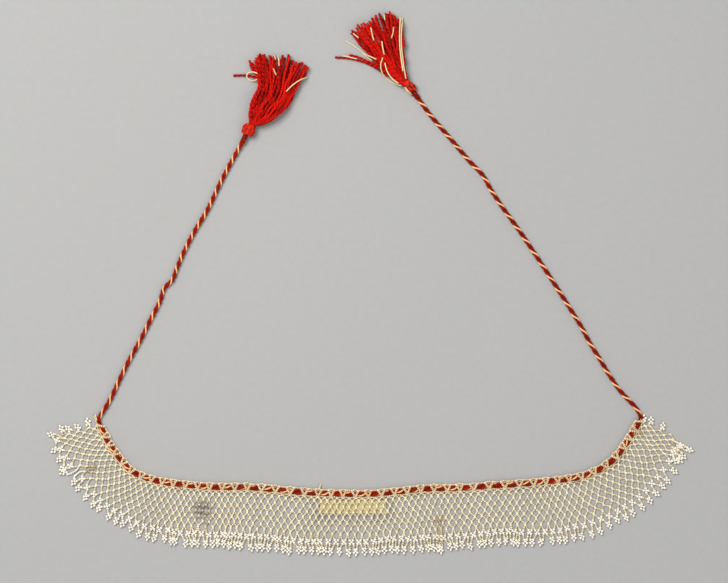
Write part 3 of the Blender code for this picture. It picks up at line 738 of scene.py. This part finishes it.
# How far out a stain reaches, in radii, and how ragged its edge is.
STAIN_REACH, STAIN_RAGGED = 1.6, 0.6
# A way that no bead's hole runs, to measure its turn from.
OFF_WAY = (0.36, 0.48, 0.8)
bead_draw = np.random.default_rng(23)


def pick(span):
    """A random number from a span."""
    return bead_draw.uniform(*span)


class Beadwork:
    """Beads and threads that are gathered for the collar's pieces."""

    def __init__(self):
        self.beads = {"white": [], "clear": []}
        self.threads = []

    def bead(self, kind, middle, along, size, tone, red=0.0):
        """One bead, with the way its hole runs. Its size is its thickness and its length, and red is how
        much of the cord's red is painted on it, as the cord seen through its glass.
        """
        self.beads[kind].append((*middle, *unit(along), *size, tone, red))

    def string(self, points, tone, red=0.0, size=CLEAR_SIZE, kind="clear"):
        """Threads beads along a line of points, and gives back the thread's own points."""
        points = np.asarray(points, float)
        run = run_of(points)
        count = int(run[-1] / size[1] + SQUEEZED_IN)
        if count < 1:
            return list(points)
        stations = (np.arange(count) + 0.5) / count * run[-1]
        middles = np.array([[np.interp(at, run, column) for column in points.T] for at in stations])
        before = np.vstack([points[:1], middles[:-1]])
        after = np.vstack([middles[1:], points[-1:]])
        length = min(run[-1] / count, size[1] * DRAWN_OUT)
        for middle, along in zip(middles, after - before):
            made = np.array((size[0], length)) * bead_draw.normal(1, SIZE_VARIES)
            shade = np.clip(tone + bead_draw.normal(0, TONE_VARIES), 0, 1)
            self.bead(kind, middle, along, made, shade, red)
        return [points[0], *middles, points[-1]]

    def leg(self, start, end, tone, bow=0.0, size=CLEAR_SIZE, red=0.0):
        """A short string of clear beads from one white bead to the next, bowed a little aside."""
        gap = end - start
        share = np.linspace(0, 1, 5)[:, None]
        points = start + gap * share + beside(unit(gap)) * bow * np.sin(math.pi * share)
        points[1:-1, 2] -= LEG_SAG
        return self.string(points, tone, red, size)


def bead_shape(outline, sides):
    """A bead: its outline spun round the hole."""
    bm = bmesh.new()
    verts = [bm.verts.new((off, 0, along)) for off, along in outline]
    edges = [bm.edges.new(pair) for pair in zip(verts, verts[1:] + verts[:1])]
    bmesh.ops.spin(
        bm,
        geom=verts + edges,
        cent=(0, 0, 0),
        axis=(0, 0, 1),
        angle=2 * math.pi,
        steps=sides,
        use_merge=True,
    )
    bmesh.ops.recalc_face_normals(bm, faces=bm.faces)
    return mesh_from("bead", bm)


def threaded(name, work, kind, nodes):
    """Joins a work's beads of one kind into one piece, and marks their tone, stain, red and tape; red and
    tape are painted light, the cord and the label beneath seen through the glass.
    """
    outline, sides, look = BEADS[kind]
    shape = bead_shape(outline, sides)
    corners = np.array([vertex.co for vertex in shape.vertices])
    faces = np.array([face.vertices for face in shape.polygons])
    bpy.data.meshes.remove(shape)
    rows = np.array(work.beads[kind])
    middle, along = rows[:, 0:3], rows[:, 3:6]
    half = rows[:, 6:8] / 2
    right = units(np.cross(along, OFF_WAY))
    other = np.cross(along, right)
    spin = bead_draw.uniform(0, 2 * math.pi, len(rows))[:, None]
    turned_right = right * np.cos(spin) + other * np.sin(spin)
    turned_other = other * np.cos(spin) - right * np.sin(spin)
    points = middle[:, None, :]
    for axis, way in enumerate((turned_right, turned_other, along)):
        reach = corners[:, axis] * half[:, axis // 2, None]
        points = points + way[:, None, :] * reach[:, :, None]
    points = (points.reshape(-1, 3) - (*COLLAR_CENTRE, 0)) * MM
    walls = (faces[None] + np.arange(len(rows))[:, None, None] * len(corners)).reshape(-1, faces.shape[1])
    mesh = bpy.data.meshes.new(name)
    mesh.from_pydata(points, [], walls)
    mesh.shade_smooth()
    stain = np.zeros(len(rows))
    for x, y, radius, strength in STAINS:
        off = np.hypot(middle[:, 0] - x, middle[:, 1] - y) / radius
        ragged = bead_draw.uniform(0, STAIN_RAGGED, len(rows))
        stain = np.maximum(stain, strength * np.clip(STAIN_REACH - off - ragged, 0, 1))
    # Painted light: beads over the label are marked to take the tape's colour, as the tape seen through
    # their clear glass.
    off = abs(middle[:, :2] - (LABEL_X, LABEL_Y))
    tape = np.all(off < (LABEL_LENGTH / 2, LABEL_WIDTH / 2), axis=1).astype(float)
    for mark, values in (("tone", rows[:, 8]), ("stain", stain), ("red", rows[:, 9]), ("tape", tape)):
        layer = mesh.attributes.new(mark, "FLOAT", "POINT")
        layer.data.foreach_set("value", np.repeat(values, len(corners)))
    return finished(name, mesh, look, nodes)


def thin_threads(name, work, nodes):
    """A work's threads as one piece."""
    return strands(name, work.threads, THREAD_THICKNESS, 4, CREAM_THREAD, nodes)


def glass(name, coat_roughness, tones, clouds, marks, roughness, grain):
    """Seed beads: each with a tone of its own, cloudy, and coloured where a mark on it says so."""
    look = Finish(name, coat_weight=0.35, coat_roughness=coat_roughness)
    scale, share, colour = clouds
    cloud = look.noise(look.where(), scale, 3.0)
    base = look.mix(cloud * share, look.mix(look.attribute("tone"), *tones), colour)
    for mark, share, colour in marks:
        base = look.mix(look.attribute(mark) * share, base, colour)
    look.feed("Base Color", base)
    look.feed("Roughness", cloud * 0.2 + roughness)
    look.relief(look.noise(look.where(), *grain), 0.03)
    return look


WHITE_BEAD = glass(
    "white_beads",
    coat_roughness=0.12,
    tones=((0.60, 0.55, 0.46), (0.75, 0.70, 0.595)),
    clouds=(900.0, 0.35, (0.54, 0.46, 0.34)),
    marks=(("stain", 0.6, (0.42, 0.28, 0.12)),),
    roughness=0.22,
    grain=(2600.0, 2.0),
)
CLEAR_BEAD = glass(
    "clear_beads",
    coat_roughness=0.08,
    tones=((0.43, 0.355, 0.205), (0.65, 0.55, 0.345)),
    clouds=(1500.0, 0.4, (0.72, 0.63, 0.44)),
    marks=(
        # Painted light: the cream tape beneath, seen through the clear glass.
        ("tape", 0.75, (0.58, 0.48, 0.245)),
        # Painted light: the red cord's colour seen through the clear glass of the casing's beads.
        ("red", 0.6, (0.66, 0.32, 0.14)),
        ("stain", 1.0, (0.13, 0.07, 0.025)),
    ),
    roughness=0.10,
    grain=(1500.0, 3.0),
)
BEADS = {
    # the outline from the hole outwards and back, the number of sides, the look
    "white": (((0.36, 0.0), (0.60, 0.98), (0.97, 0.5), (0.97, -0.5), (0.60, -0.98)), 8, WHITE_BEAD),
    "clear": (((0.42, 0.98), (0.96, 0.6), (0.96, -0.6), (0.42, -0.98)), 6, CLEAR_BEAD),
}

ROWS = 7
FIRST_ROW, ROW_STEP = 7.7, 3.68
STRINGS = 4 * WINDOWS
CROSSING_Z = 0.88
LABEL_X, LABEL_Y = -11.8, -14.3
LABEL_LENGTH, LABEL_WIDTH = 44.4, 9.2
POCKET_HEIGHT, HUMP_MARGIN, HUMP_SLOPE = 1.3, 1.5, 3.5
BROKEN_STRING, BROKEN_AFTER = (117, -1), (1, 2)
BROKEN_END = ((0.5, -0.9, 0.1), (0.3, -1.5, -0.3))
CROSSING_VARIES, CROSSING_DRIFT, NET_WAVE = 0.04, 0.15, 0.2
MIXED_TONE = (0.2, 1.0)
node_drift = bead_draw.normal(0, CROSSING_DRIFT, (STRINGS + 1, ROWS, 2))


def window_of(i):
    """Where along the casing a string starts, in windows."""
    return FIRST_WINDOW + i / 4


def raised(point):
    """Lifts a point of the netting over the label."""
    past_x = abs(point[0] - LABEL_X) - LABEL_LENGTH / 2 - HUMP_MARGIN
    past_y = abs(point[1] - LABEL_Y) - LABEL_WIDTH / 2 - HUMP_MARGIN
    rise = max(0.0, 1 - math.hypot(max(past_x, 0), max(past_y, 0)) / HUMP_SLOPE)
    return point + up(POCKET_HEIGHT * rise)


def crossing(i, row):
    """Middle of the white bead where two strings cross."""
    window = window_of(i)
    aside, deeper = node_drift[i, row]
    aside += NET_WAVE * math.sin(1.3 * window + 0.9 * row)
    deeper += NET_WAVE * math.sin(0.75 * window + 0.4 * row)
    return raised(place(window, FIRST_ROW + ROW_STEP * row + deeper, CROSSING_Z, aside))


net = Beadwork()
header = Beadwork()
fringe = Beadwork()
crossings = {
    (i, row): crossing(i, row) for row in range(ROWS) for i in range(STRINGS + 1) if (i + row) % 2
}
for (i, row), middle in crossings.items():
    size = np.array(CROSSING_SIZE) * bead_draw.normal(1, CROSSING_VARIES)
    net.bead("white", middle, way_down(window_of(i)), size, pick(MIXED_TONE))


def through(i, row, side):
    """Where a string enters and leaves a crossing bead."""
    down = way_down(window_of(i))
    aside = beside(down) * CROSSING_ASIDE * side
    half = down * CROSSING_REACH
    return crossings[i, row] - half + aside, crossings[i, row] + half + aside


# The fringe's white beads. Below the last crossing the two strings that meet make a floret of five
# beads and part again, and each two that hang side by side end in a picot of six.
FLORET_SIZE = (1.98, 1.5)
FLORET_SPREAD = (1.0, 1.12)
PICOT_SPREADS = ((0.92, -1.18), (1.12, 1.12))
PICOT_CENTRE, PICOT_TIP = 3.65, 0.94
CORNER_REACH = 0.4
FLORET_DRIFT, FLORET_RISE = 0.1, 0.12
FLORET_TURN, PICOT_TURN = 0.16, 0.09
PICOT_ROOT_ASIDE = 0.25
FRINGE_BOW = 0.1
FLORET_DEPTH = 34.9
FRINGE_Z = 0.97
WHITE_TONE = (0.45, 1.0)
MOVED_FLORETS = {
    # strand: aside, and how much deeper
    1: (-1.9, 0.5), 3: (0.3, -0.1), 7: (0.0, 0.7), 15: (-0.1, 0.4), 17: (-0.8, 0.5), 21: (0.6, 0.4),
    27: (-0.4, 0.4), 31: (-0.5, -0.4), 35: (-0.6, 0.3), 37: (-0.5, 0.1), 41: (-0.6, 0.0), 47: (-0.4, -0.1),
    51: (-0.6, 0.0), 55: (0.3, -0.4), 57: (1.0, -0.2), 59: (-0.7, 0.5), 65: (0.0, 0.2), 71: (0.4, -0.2),
    75: (0.0, 0.4), 77: (0.2, -0.5), 81: (-0.3, 0.3), 83: (-0.2, -0.4), 87: (0.1, -0.4), 89: (-0.5, 0.1),
    91: (1.0, 0.2), 92: (0.6, -0.9), 93: (-1.1, 0.4), 94: (-2.8, 1.1),
}
MISSING_FLORET = 5
PICOTS = (
    # how far each picot's tip hangs to one side, and how far below the florets
    (-6.9, 5.6), (2.9, 7.1), (4.9, 6.2), (2.8, 8.1), (-2.0, 10.0), (2.3, 8.3), (0.4, 8.9),
    (1.1, 8.5), (1.4, 8.2), (-0.3, 7.6), (2.2, 8.3), (2.0, 8.6), (-0.1, 8.1), (0.0, 7.7),
    (-0.2, 9.4), (1.0, 9.6), (-1.0, 9.7), (1.2, 9.1), (0.8, 9.9), (-1.0, 9.2), (2.1, 9.6),
    (1.5, 9.7), (0.6, 9.7), (0.4, 9.4), (0.3, 9.2), (-1.6, 8.5), (-1.4, 9.2), (-1.6, 10.4),
    (-1.3, 9.5), (-2.5, 9.6), (1.6, 10.2), (0.5, 10.2), (-0.8, 10.2), (-1.0, 10.0), (0.2, 9.6),
    (0.6, 9.7), (0.0, 10.5), (1.7, 9.0), (0.5, 8.8), (1.7, 9.0), (1.2, 9.0), (0.5, 9.3),
    (-0.9, 9.6), (-0.4, 9.4), (0.7, 10.1), (-0.1, 9.7), (0.6, 9.5), (-0.1, 9.7), (-0.3, 9.9),
    (-1.0, 10.0), (-0.3, 10.0), (-1.8, 10.4), (-2.2, 10.4), (-0.4, 10.3), (1.4, 9.8), (1.1, 10.2),
    (1.0, 10.1), (-0.4, 10.2), (-1.6, 11.6), (1.9, 10.0), (1.2, 9.9), (-0.5, 8.8), (0.1, 10.3),
    (0.2, 9.7), (-1.3, 9.8), (-1.2, 9.8), (-0.6, 9.9), (-0.7, 9.4), (0.9, 10.3), (-0.6, 10.4),
    (-0.5, 9.9), (-1.4, 9.9), (-1.8, 9.6), (1.8, 9.2), (1.0, 9.5), (-0.7, 10.3), (-0.1, 9.8),
    (0.0, 9.9), (-0.1, 10.3), (-0.3, 10.4), (0.0, 9.2), (-0.1, 8.1), (-0.7, 9.3), (-1.7, 8.8),
    (0.2, 9.5), (0.0, 9.3), (1.3, 9.1), (1.1, 9.2), (-1.5, 9.7), (-1.1, 9.5), (-0.3, 6.7),
    (-2.8, 8.9), (-3.4, 9.4), (-0.5, 10.8),
)
HEM_NODES = {
    # the node, and its first and last strand
    "fringe_hem_left": (1, 18),
    "fringe_hem_centre": (19, 75),
    "fringe_hem_right": (76, 94),
}


def cross_of_five(work, middle, down, spreads, tone):
    """A floret: four white beads round a fifth, with their holes towards it."""
    aside = beside(down)
    corners = {}
    for end, (across, along) in zip((-1, 1), spreads):
        for side in (-1, 1):
            drift = np.array((*bead_draw.normal(0, FLORET_DRIFT, 2), 0))
            corner = middle + aside * side * across + down * along + drift
            corners[end, side] = corner
            work.bead("white", corner, corner - middle, FLORET_SIZE, pick(tone))
    work.bead("white", middle + up(FLORET_RISE), down, FLORET_SIZE, pick(tone))
    return corners


def turned(way, angle):
    """A level direction, turned by some radians."""
    x, y = way[:2]
    cos, sin = math.cos(angle), math.sin(angle)
    return np.array((x * cos - y * sin, x * sin + y * cos, 0.0))


def picot(work, tip, down, tone):
    """A floret with one more bead hung across its end. The tip is where it ends."""
    middle = tip - down * PICOT_CENTRE
    corners = cross_of_five(work, middle, down, PICOT_SPREADS, tone)
    last = tip - down * PICOT_TIP
    work.bead("white", last, beside(down), FLORET_SIZE, pick(tone))
    return corners, middle, last


def past(corner, middle):
    """Where a string meets a corner bead of a floret."""
    return corner + (corner - middle) * CORNER_REACH


fringe_works = {name: Beadwork() for name in (*HEM_NODES, "fringe_end_left", "fringe_end_right")}
florets = {}
picots = {}
for name, (first, last) in HEM_NODES.items():
    work = fringe_works[name]
    for strand in range(first, last + 1):
        window = window_of(2 * strand)
        down = way_down(window)
        aside, deeper = MOVED_FLORETS.get(strand, (0.0, 0.0))
        middle = place(window, FLORET_DEPTH, FRINGE_Z, aside) + down * deeper
        if strand != MISSING_FLORET:
            spreads = [(FLORET_SPREAD[0], end * FLORET_SPREAD[1]) for end in (-1, 1)]
            lay = turned(down, bead_draw.normal(0, FLORET_TURN))
            florets[2 * strand] = (middle, cross_of_five(work, middle, lay, spreads, WHITE_TONE))
        window = window_of(2 * strand - 1)
        aside, drop = PICOTS[strand - 1]
        root = place(window, FLORET_DEPTH, FRINGE_Z, aside * PICOT_ROOT_ASIDE)
        tip = place(window, FLORET_DEPTH, FRINGE_Z, aside) + way_down(window) * drop
        lean = turned(unit(tip - root), bead_draw.normal(0, PICOT_TURN))
        hung = work if strand > 1 else fringe_works["fringe_end_left"]
        picots[2 * strand - 1] = picot(hung, tip, lean, WHITE_TONE)


# The net's strings, from the first row of crossings down to the picots. Where one floret is missing
# the strings beside it are strung with white beads instead.
WHITE_BEADED = {
    # string: the places that it passes on the way to its picot
    (9, 1): ((-196.6, 10.7), (-199.7, 8.6), (-203.3, 7.6)),
    (11, -1): ((-194.0, 9.4), (-196.6, 7.7), (-198.4, 5.4)),
}
WHITE_STRING_SIZE = (1.5, 1.12)
WHITE_STRING_TONE, TIP_STRING_TONE = 0.8, 0.85
ROUTE_STEP = 0.5
for first in range(1, STRINGS, 2):
    corners, picot_middle, picot_end = picots[first]
    for side in (-1, 1):
        tone = pick(STRING_TONE)
        points = []
        for row in range(ROWS):
            i = first if row % 2 == 0 else first + side
            enter, leave = through(i, row, side)
            if (first, side) == BROKEN_STRING and row - 1 in BROKEN_AFTER:
                net.threads.append([*points, *(points[-1] + np.array(BROKEN_END))])
                points = []
            elif points:
                points += net.leg(points[-1], enter, tone, bead_draw.normal(0, LEG_BOW))[1:-1]
            points += [enter, leave]
        near = corners[-1, side]
        stop = past(near, picot_middle)
        if first + side in florets:
            middle, around = florets[first + side]
            upper, lower = around[-1, -side], around[1, -side]
            points += net.leg(points[-1], past(upper, middle), tone, bead_draw.normal(0, LEG_BOW))[1:]
            points += [upper, middle, lower]
            points += fringe.leg(past(lower, middle), stop, tone, side * FRINGE_BOW)
        elif (first, side) in WHITE_BEADED:
            route = [(x, y, FRINGE_Z) for x, y in WHITE_BEADED[first, side]]
            route = eased([points[-1], *route, stop], ROUTE_STEP)
            work = fringe_works["fringe_hem_left"]
            points += work.string(route, WHITE_STRING_TONE, 0.0, WHITE_STRING_SIZE, "white")[1:]
        else:
            points += net.leg(points[-1], stop, tone)[1:]
        net.threads.append([*points, near, picot_middle, corners[1, side], picot_end])

net_clear = threaded("netting_clear_beads", net, "clear", ["net_panel"])
net_white = threaded("netting_crossing_beads", net, "white", ["net_panel"])
net_threads = thin_threads("netting_threads", net, ["net_panel", *HEM_NODES])


# Mending. Small knots of yellowed thread where strings were caught down again, and loose ends of
# cream thread at the left corner and on the neck edge.
# A light colour and a dark one, which silk() mixes as painted highlight and painted shade.
MENDING_THREAD = silk("mending_thread", (0.56, 0.50, 0.28), (0.38, 0.27, 0.11))
KNOTS = (
    # x, y, radius, turns
    (-185.1, 13.1, 1.0, 3), (-188.6, 10.2, 0.9, 2), (180.8, 34.6, 1.2, 3), (202.8, 28.4, 1.4, 3),
    (138.4, 2.6, 0.8, 2), (44.6, -23.3, 0.9, 2), (46.3, -31.8, 1.2, 3), (49.0, -35.8, 0.9, 2),
)
MENDING_THREADS = (
    # x, y, z along each thread
    ((-191.6, 12.6, 1.2), (-189.6, 10.3, 1.7), (-187.2, 9.2, 1.8), (-184.6, 9.0, 1.6), (-182.6, 9.8, 1.0)),
    ((-190.2, 9.0, 1.1), (-188.4, 11.4, 1.8), (-186.0, 11.0, 1.9), (-184.4, 13.6, 1.5)),
    ((-1.5, -24.6, 1.2), (0.2, -23.2, 1.7), (1.5, -22.0, 1.2)),
    (
        (44.9, -20.0, 1.3), (44.2, -22.0, 1.7), (46.2, -24.3, 1.8), (45.0, -27.4, 1.7), (46.8, -30.0, 1.6),
        (46.2, -34.0, 1.6), (48.2, -37.6, 1.3),
    ),
    (
        (47.6, -21.4, 1.2), (46.2, -23.4, 1.8), (47.8, -26.6, 1.7), (47.0, -30.4, 1.7), (49.4, -33.0, 1.6),
        (50.4, -36.6, 1.4),
    ),
    ((178.0, 33.0, 1.3), (180.2, 35.6, 1.9), (182.8, 34.6, 1.9), (184.6, 32.4, 1.3)),
)
LOOSE_ENDS = (
    # x, y, z along each end
    ((-181.3, 41.2, 1.6), (-182.6, 43.0, 2.2), (-183.6, 45.2, 2.2), (-184.2, 47.8, 1.8)),
    ((-182.0, 40.6, 1.6), (-183.4, 42.6, 1.8), (-184.2, 44.6, 1.7), (-185.2, 46.6, 1.2)),
    ((-182.6, 41.0, 1.2), (-183.0, 43.2, 1.2), (-183.2, 45.0, 1.0), (-184.6, 47.0, 0.7)),
    ((-33.9, -2.4, 1.4), (-33.8, -1.0, 1.8), (-33.6, 0.2, 1.6), (-33.3, 1.2, 1.2)),
    ((-34.2, -2.4, 1.4), (-34.1, -1.2, 1.5), (-33.8, -0.2, 1.3), (-33.7, 0.6, 1.0)),
)
MENDING_THICKNESS, LOOSE_THICKNESS, MENDING_STEP = 0.34, 0.75, 0.4
TANGLE_STEPS, TANGLE_HOLLOW = 14, 0.25
TANGLE_Z, TANGLE_RISE = 1.35, 0.45


def tangle(x, y, radius, turns):
    """Thread caught up in a small knot."""
    steps = np.linspace(0, turns * 2 * math.pi, turns * TANGLE_STEPS)
    phase = bead_draw.uniform(0, 2 * math.pi, 3)
    off = radius * (1 - TANGLE_HOLLOW + TANGLE_HOLLOW * np.sin(steps * 0.61 + phase[0]))
    across = x + off * np.cos(steps + 0.9 * np.sin(steps * 0.37 + phase[1]))
    along = y + off * np.sin(steps * 0.87 + phase[2])
    up = TANGLE_Z + TANGLE_RISE * np.sin(steps * 1.31 + phase[1])
    return np.stack([across, along, up], axis=1)


knot_lines = [tangle(*row) for row in KNOTS]
knot_lines += [eased(route, MENDING_STEP) for route in MENDING_THREADS]
loose_lines = [eased(route, MENDING_STEP) for route in LOOSE_ENDS]
mending = strands(
    "netting_mending_thread", knot_lines, MENDING_THICKNESS, 6, MENDING_THREAD, ["net_panel"]
)
loose_ends = strands(
    "casing_loose_ends", loose_lines, LOOSE_THICKNESS, 6, CREAM_THREAD, ["header_band"]
)


# The casing. An edging string has two white beads a window, and from each a short string slants over
# the drawstring to a white bead of the border string. Bars pass below the drawstring, one a window.
EDGE_DEPTH, EDGE_Z = 0.5, 1.4
EDGE_INSET = 0.6
SCALLOP = 0.6
EDGE_WHITE_SIZE = (1.6, 1.3)
EDGE_CLEAR_SIZE = (1.45, 1.05)
BACK_DEPTH, BACK_Z = 1.3, 0.8
SLANT_SIZE = (1.7, 1.15)
APEX_DEPTH, APEX_Z = 4.65, 1.6
BORDER_DEPTH, BORDER_Z = 5.1, 1.45
BORDER_WHITE_SIZE = (1.35, 1.1)
LABELLED_WINDOWS = (19, 24)
BAR_Z, BAR_INSET = 0.56, 0.3
TOP_INSET = 0.55
SLANT_STEPS = 11
SLANT_LIFT = 0.4
EDGE_DRIFT = 0.1
SCALLOP_VARIES, BORDER_VARIES = 0.08, 0.06
FLAT_SCALLOP, BORDER_BOW = 0.05, -0.15
# How light the beads of each kind of string are, and how much of the red cord is painted on them: painted
# light, the cord's red seen through their clear glass.
APEX_TONE, BORDER_WHITE_TONE = (0.3, 1.0), (0.2, 0.9)
EDGE_TONE, BORDER_TONE, BACK_TONE, BAR_TONE = (0.4, 0.9), (0.4, 0.95), (0.2, 0.6), (0.2, 0.7)
EDGE_PAINTED_CORD_RED, BORDER_PAINTED_CORD_RED, BACK_PAINTED_CORD_RED, BAR_PAINTED_CORD_RED, SLANT_PAINTED_CORD_RED = 0.35, 0.4, 0.5, 0.6, (0.3, 1.0)
edging = {}
for i in range(1, STRINGS, 2):
    window = window_of(i)
    drift = bead_draw.normal(0, EDGE_DRIFT, 2)
    edging[i] = place(window, EDGE_DEPTH + drift[0], EDGE_Z, drift[1])
    along = place(window + 0.05, EDGE_DEPTH) - place(window - 0.05, EDGE_DEPTH)
    header.bead("white", edging[i], along, EDGE_WHITE_SIZE, pick(MIXED_TONE))
edge_points = []
for i in range(1, STRINGS - 2, 2):
    start, end = edging[i], edging[i + 2]
    inset = unit(end - start) * EDGE_INSET
    between_windows = (i + 1) % 4 == 0
    bow = bead_draw.normal(SCALLOP if between_windows else FLAT_SCALLOP, SCALLOP_VARIES)
    tone = pick(EDGE_TONE)
    edge_points += [start, *header.leg(start + inset, end - inset, tone, bow, EDGE_CLEAR_SIZE, EDGE_PAINTED_CORD_RED)]
    if between_windows:
        behind = [place(window_of(i + across), BACK_DEPTH, BACK_Z) for across in (-0.1, 1, 2.1)]
        header.threads.append(header.string(behind, pick(BACK_TONE), BACK_PAINTED_CORD_RED))
header.threads.append(edge_points + [end])

apexes = {}
for i in range(0, STRINGS + 1, 2):
    window = window_of(i)
    down = way_down(window)
    if i % 4 == 0:
        apexes[i] = place(window, APEX_DEPTH, APEX_Z)
        header.bead("white", apexes[i], down, EDGE_WHITE_SIZE, pick(APEX_TONE))
        for side in (-1, 1):
            if i + side not in edging:
                continue
            slant = []
            for share in np.linspace(0, 1, SLANT_STEPS):
                depth = EDGE_DEPTH + share * (APEX_DEPTH - EDGE_DEPTH)
                at = window + side / 4 * (1 - share)
                clear = CORD_DIAMETER / 2 * casing_swell(at) + SLANT_SIZE[0] / 2
                over = math.sqrt(max(0.0, clear**2 - (depth - casing_depth(at)) ** 2))
                slant.append(place(at, depth, max(EDGE_Z + SLANT_LIFT, casing_height(at) + over)))
            tone, red = pick(EDGE_TONE), pick(SLANT_PAINTED_CORD_RED)
            points = header.string(slant, tone, red, SLANT_SIZE)
            header.threads.append([edging[i + side], *points, apexes[i]])
    else:
        apexes[i] = place(window, BORDER_DEPTH, BORDER_Z)
        if LABELLED_WINDOWS[0] <= window <= LABELLED_WINDOWS[1]:
            header.bead("white", apexes[i], down, BORDER_WHITE_SIZE, pick(BORDER_WHITE_TONE))
        bar = [place(window, depth, BAR_Z) for depth in (EDGE_DEPTH + BAR_INSET, BORDER_DEPTH - BAR_INSET)]
        header.threads.append(header.string(bar, pick(BAR_TONE), BAR_PAINTED_CORD_RED))
border = []
for i in range(0, STRINGS, 2):
    start, end = apexes[i], apexes[i + 2]
    gap = unit(end - start)
    inset = EDGE_INSET if i % 4 == 0 else 0.0
    tone = pick(BORDER_TONE)
    bow = bead_draw.normal(BORDER_BOW, BORDER_VARIES)
    start_at, end_at = start + gap * inset, end - gap * (EDGE_INSET - inset)
    border += [start, *header.leg(start_at, end_at, tone, bow, EDGE_CLEAR_SIZE, BORDER_PAINTED_CORD_RED)]
header.threads.append(border + [end])
for i in range(1, STRINGS, 2):
    enter, _ = through(i, 0, 0)
    for side in (-1, 1):
        top = apexes[i + side]
        start = top + way_down(window_of(i + side)) * TOP_INSET
        header.threads.append([top, *header.leg(start, enter, pick(STRING_TONE))])
header_clear = threaded("casing_clear_beads", header, "clear", ["header_band"])
header_white = threaded("casing_white_beads", header, "white", ["header_band"])
header_threads = thin_threads("casing_threads", header, ["header_band"])


# The short ends' own picots, hung from the net's outermost strings, and the whole fringe's pieces.
# At the right tip one more string runs out over the picots, strung with white beads.
END_STRANDS = (
    # outward side, root depth, tip depth, reach of the tip
    (-1, 11.0, 9.5, 6.9), (-1, 17.0, 20.0, 5.4), (-1, 23.4, 26.6, 6.1), (-1, 28.9, 30.3, 7.8),
    (1, 5.4, 3.4, 4.9), (1, 11.0, 8.4, 5.8), (1, 19.6, 17.7, 6.2),
)
ROOT_Z, ROOT_ASIDE, ROOT_SPREAD = 0.7, 0.5, 0.9
TIP_STRING = (
    (199.6, 31.4, 0.8), (204.5, 29.3, 0.9), (207.7, 27.6, 0.9), (210.0, 26.9, 0.9), (212.8, 24.6, 0.8),
)
for side, root_depth, tip_depth, reach in END_STRANDS:
    window = FIRST_WINDOW if side < 0 else LAST_WINDOW
    work = fringe_works["fringe_end_left" if side < 0 else "fringe_end_right"]
    root = place(window, root_depth, ROOT_Z, side * ROOT_ASIDE)
    tip = place(window, tip_depth, FRINGE_Z, side * reach)
    lean = unit((tip - root) * (1, 1, 0))
    corners, middle, last = picot(work, tip, lean, WHITE_TONE)
    for across in (-1, 1):
        near = corners[-1, across]
        start = root + beside(lean) * across * ROOT_SPREAD
        tone = pick(STRING_TONE)
        points = fringe.leg(start, past(near, middle), tone, across * FRINGE_BOW)
        fringe.threads.append([*points, near, middle, corners[1, across], last])
tip_route = eased(TIP_STRING, ROUTE_STEP)
tip_work = fringe_works["fringe_end_right"]
fringe.threads.append(tip_work.string(tip_route, TIP_STRING_TONE, 0.0, WHITE_STRING_SIZE, "white"))
fringe_pieces = [
    threaded(f"{name}_white_beads", work, "white", [name])
    for name, work in fringe_works.items()
]
fringe_pieces += [
    threaded("fringe_clear_beads", fringe, "clear", list(fringe_works)),
    thin_threads("fringe_threads", fringe, ["fringe_end_left", "fringe_end_right"]),
]


# The label. A plain strip of cream tape under the netting, raised a little where its ends are turned
# under.
LABEL_THICKNESS = 0.35
LABEL_Z, TURNED_END, TURNED_RISE, TURNED_SLOPE = 0.42, 3.5, 0.3, 0.8
RIPPLES = (0.08, 0.06)
BEND = 0.2
FRAY, FRAY_RIGHT = 0.35, 0.3
tape = Finish("cream_tape", roughness=0.85, sheen_weight=0.1)
weave_across = tape.wave(tape.stretched(tape.where(), (1.0, 0.0, 0.0)), 520.0, 0.6)
weave_along = tape.wave(tape.stretched(tape.where(), (0.0, 1.0, 0.0)), 620.0, 0.6)
age = tape.noise(tape.where(), 120.0, 4.0)
tape_base = tape.mix(age, (0.64, 0.54, 0.29), (0.50, 0.41, 0.19))
tape.feed("Base Color", tape.mix(weave_across * weave_along * 0.35, tape_base, (0.30, 0.23, 0.12)))
tape.relief(weave_across * 0.5 + weave_along * 0.5, 0.12)
bm = bmesh.new()
bmesh.ops.create_grid(bm, x_segments=60, y_segments=12, size=0.5)
bmesh.ops.scale(bm, vec=(LABEL_LENGTH, LABEL_WIDTH, 1), verts=bm.verts)
for vertex in bm.verts:
    x, y = vertex.co.x, vertex.co.y
    turned_end = max(0.0, min(1.0, (abs(x) - LABEL_LENGTH / 2 + TURNED_END) / TURNED_SLOPE))
    ripple = RIPPLES[0] * math.sin(x * 0.5) + RIPPLES[1] * math.sin(y * 1.3 + x * 0.2)
    vertex.co.z = LABEL_Z + TURNED_RISE * turned_end + ripple
    frayed = 0.0
    if abs(x) > LABEL_LENGTH / 2 - 0.1:
        frayed = FRAY * math.sin(y * 2.9) * (1 if x < 0 else FRAY_RIGHT)
    vertex.co.x += LABEL_X + frayed
    vertex.co.y += LABEL_Y + BEND * math.sin(x * 0.24)
bmesh.ops.solidify(bm, geom=bm.faces, thickness=LABEL_THICKNESS)
bmesh.ops.translate(bm, vec=(-COLLAR_CENTRE[0], -COLLAR_CENTRE[1], 0), verts=bm.verts)
bmesh.ops.scale(bm, vec=(MM, MM, MM), verts=bm.verts)
bmesh.ops.recalc_face_normals(bm, faces=bm.faces)
tape_mesh = mesh_from("label_tape", bm)
tape_mesh.shade_smooth()
label = finished("label_tape", tape_mesh, tape, ["label"])
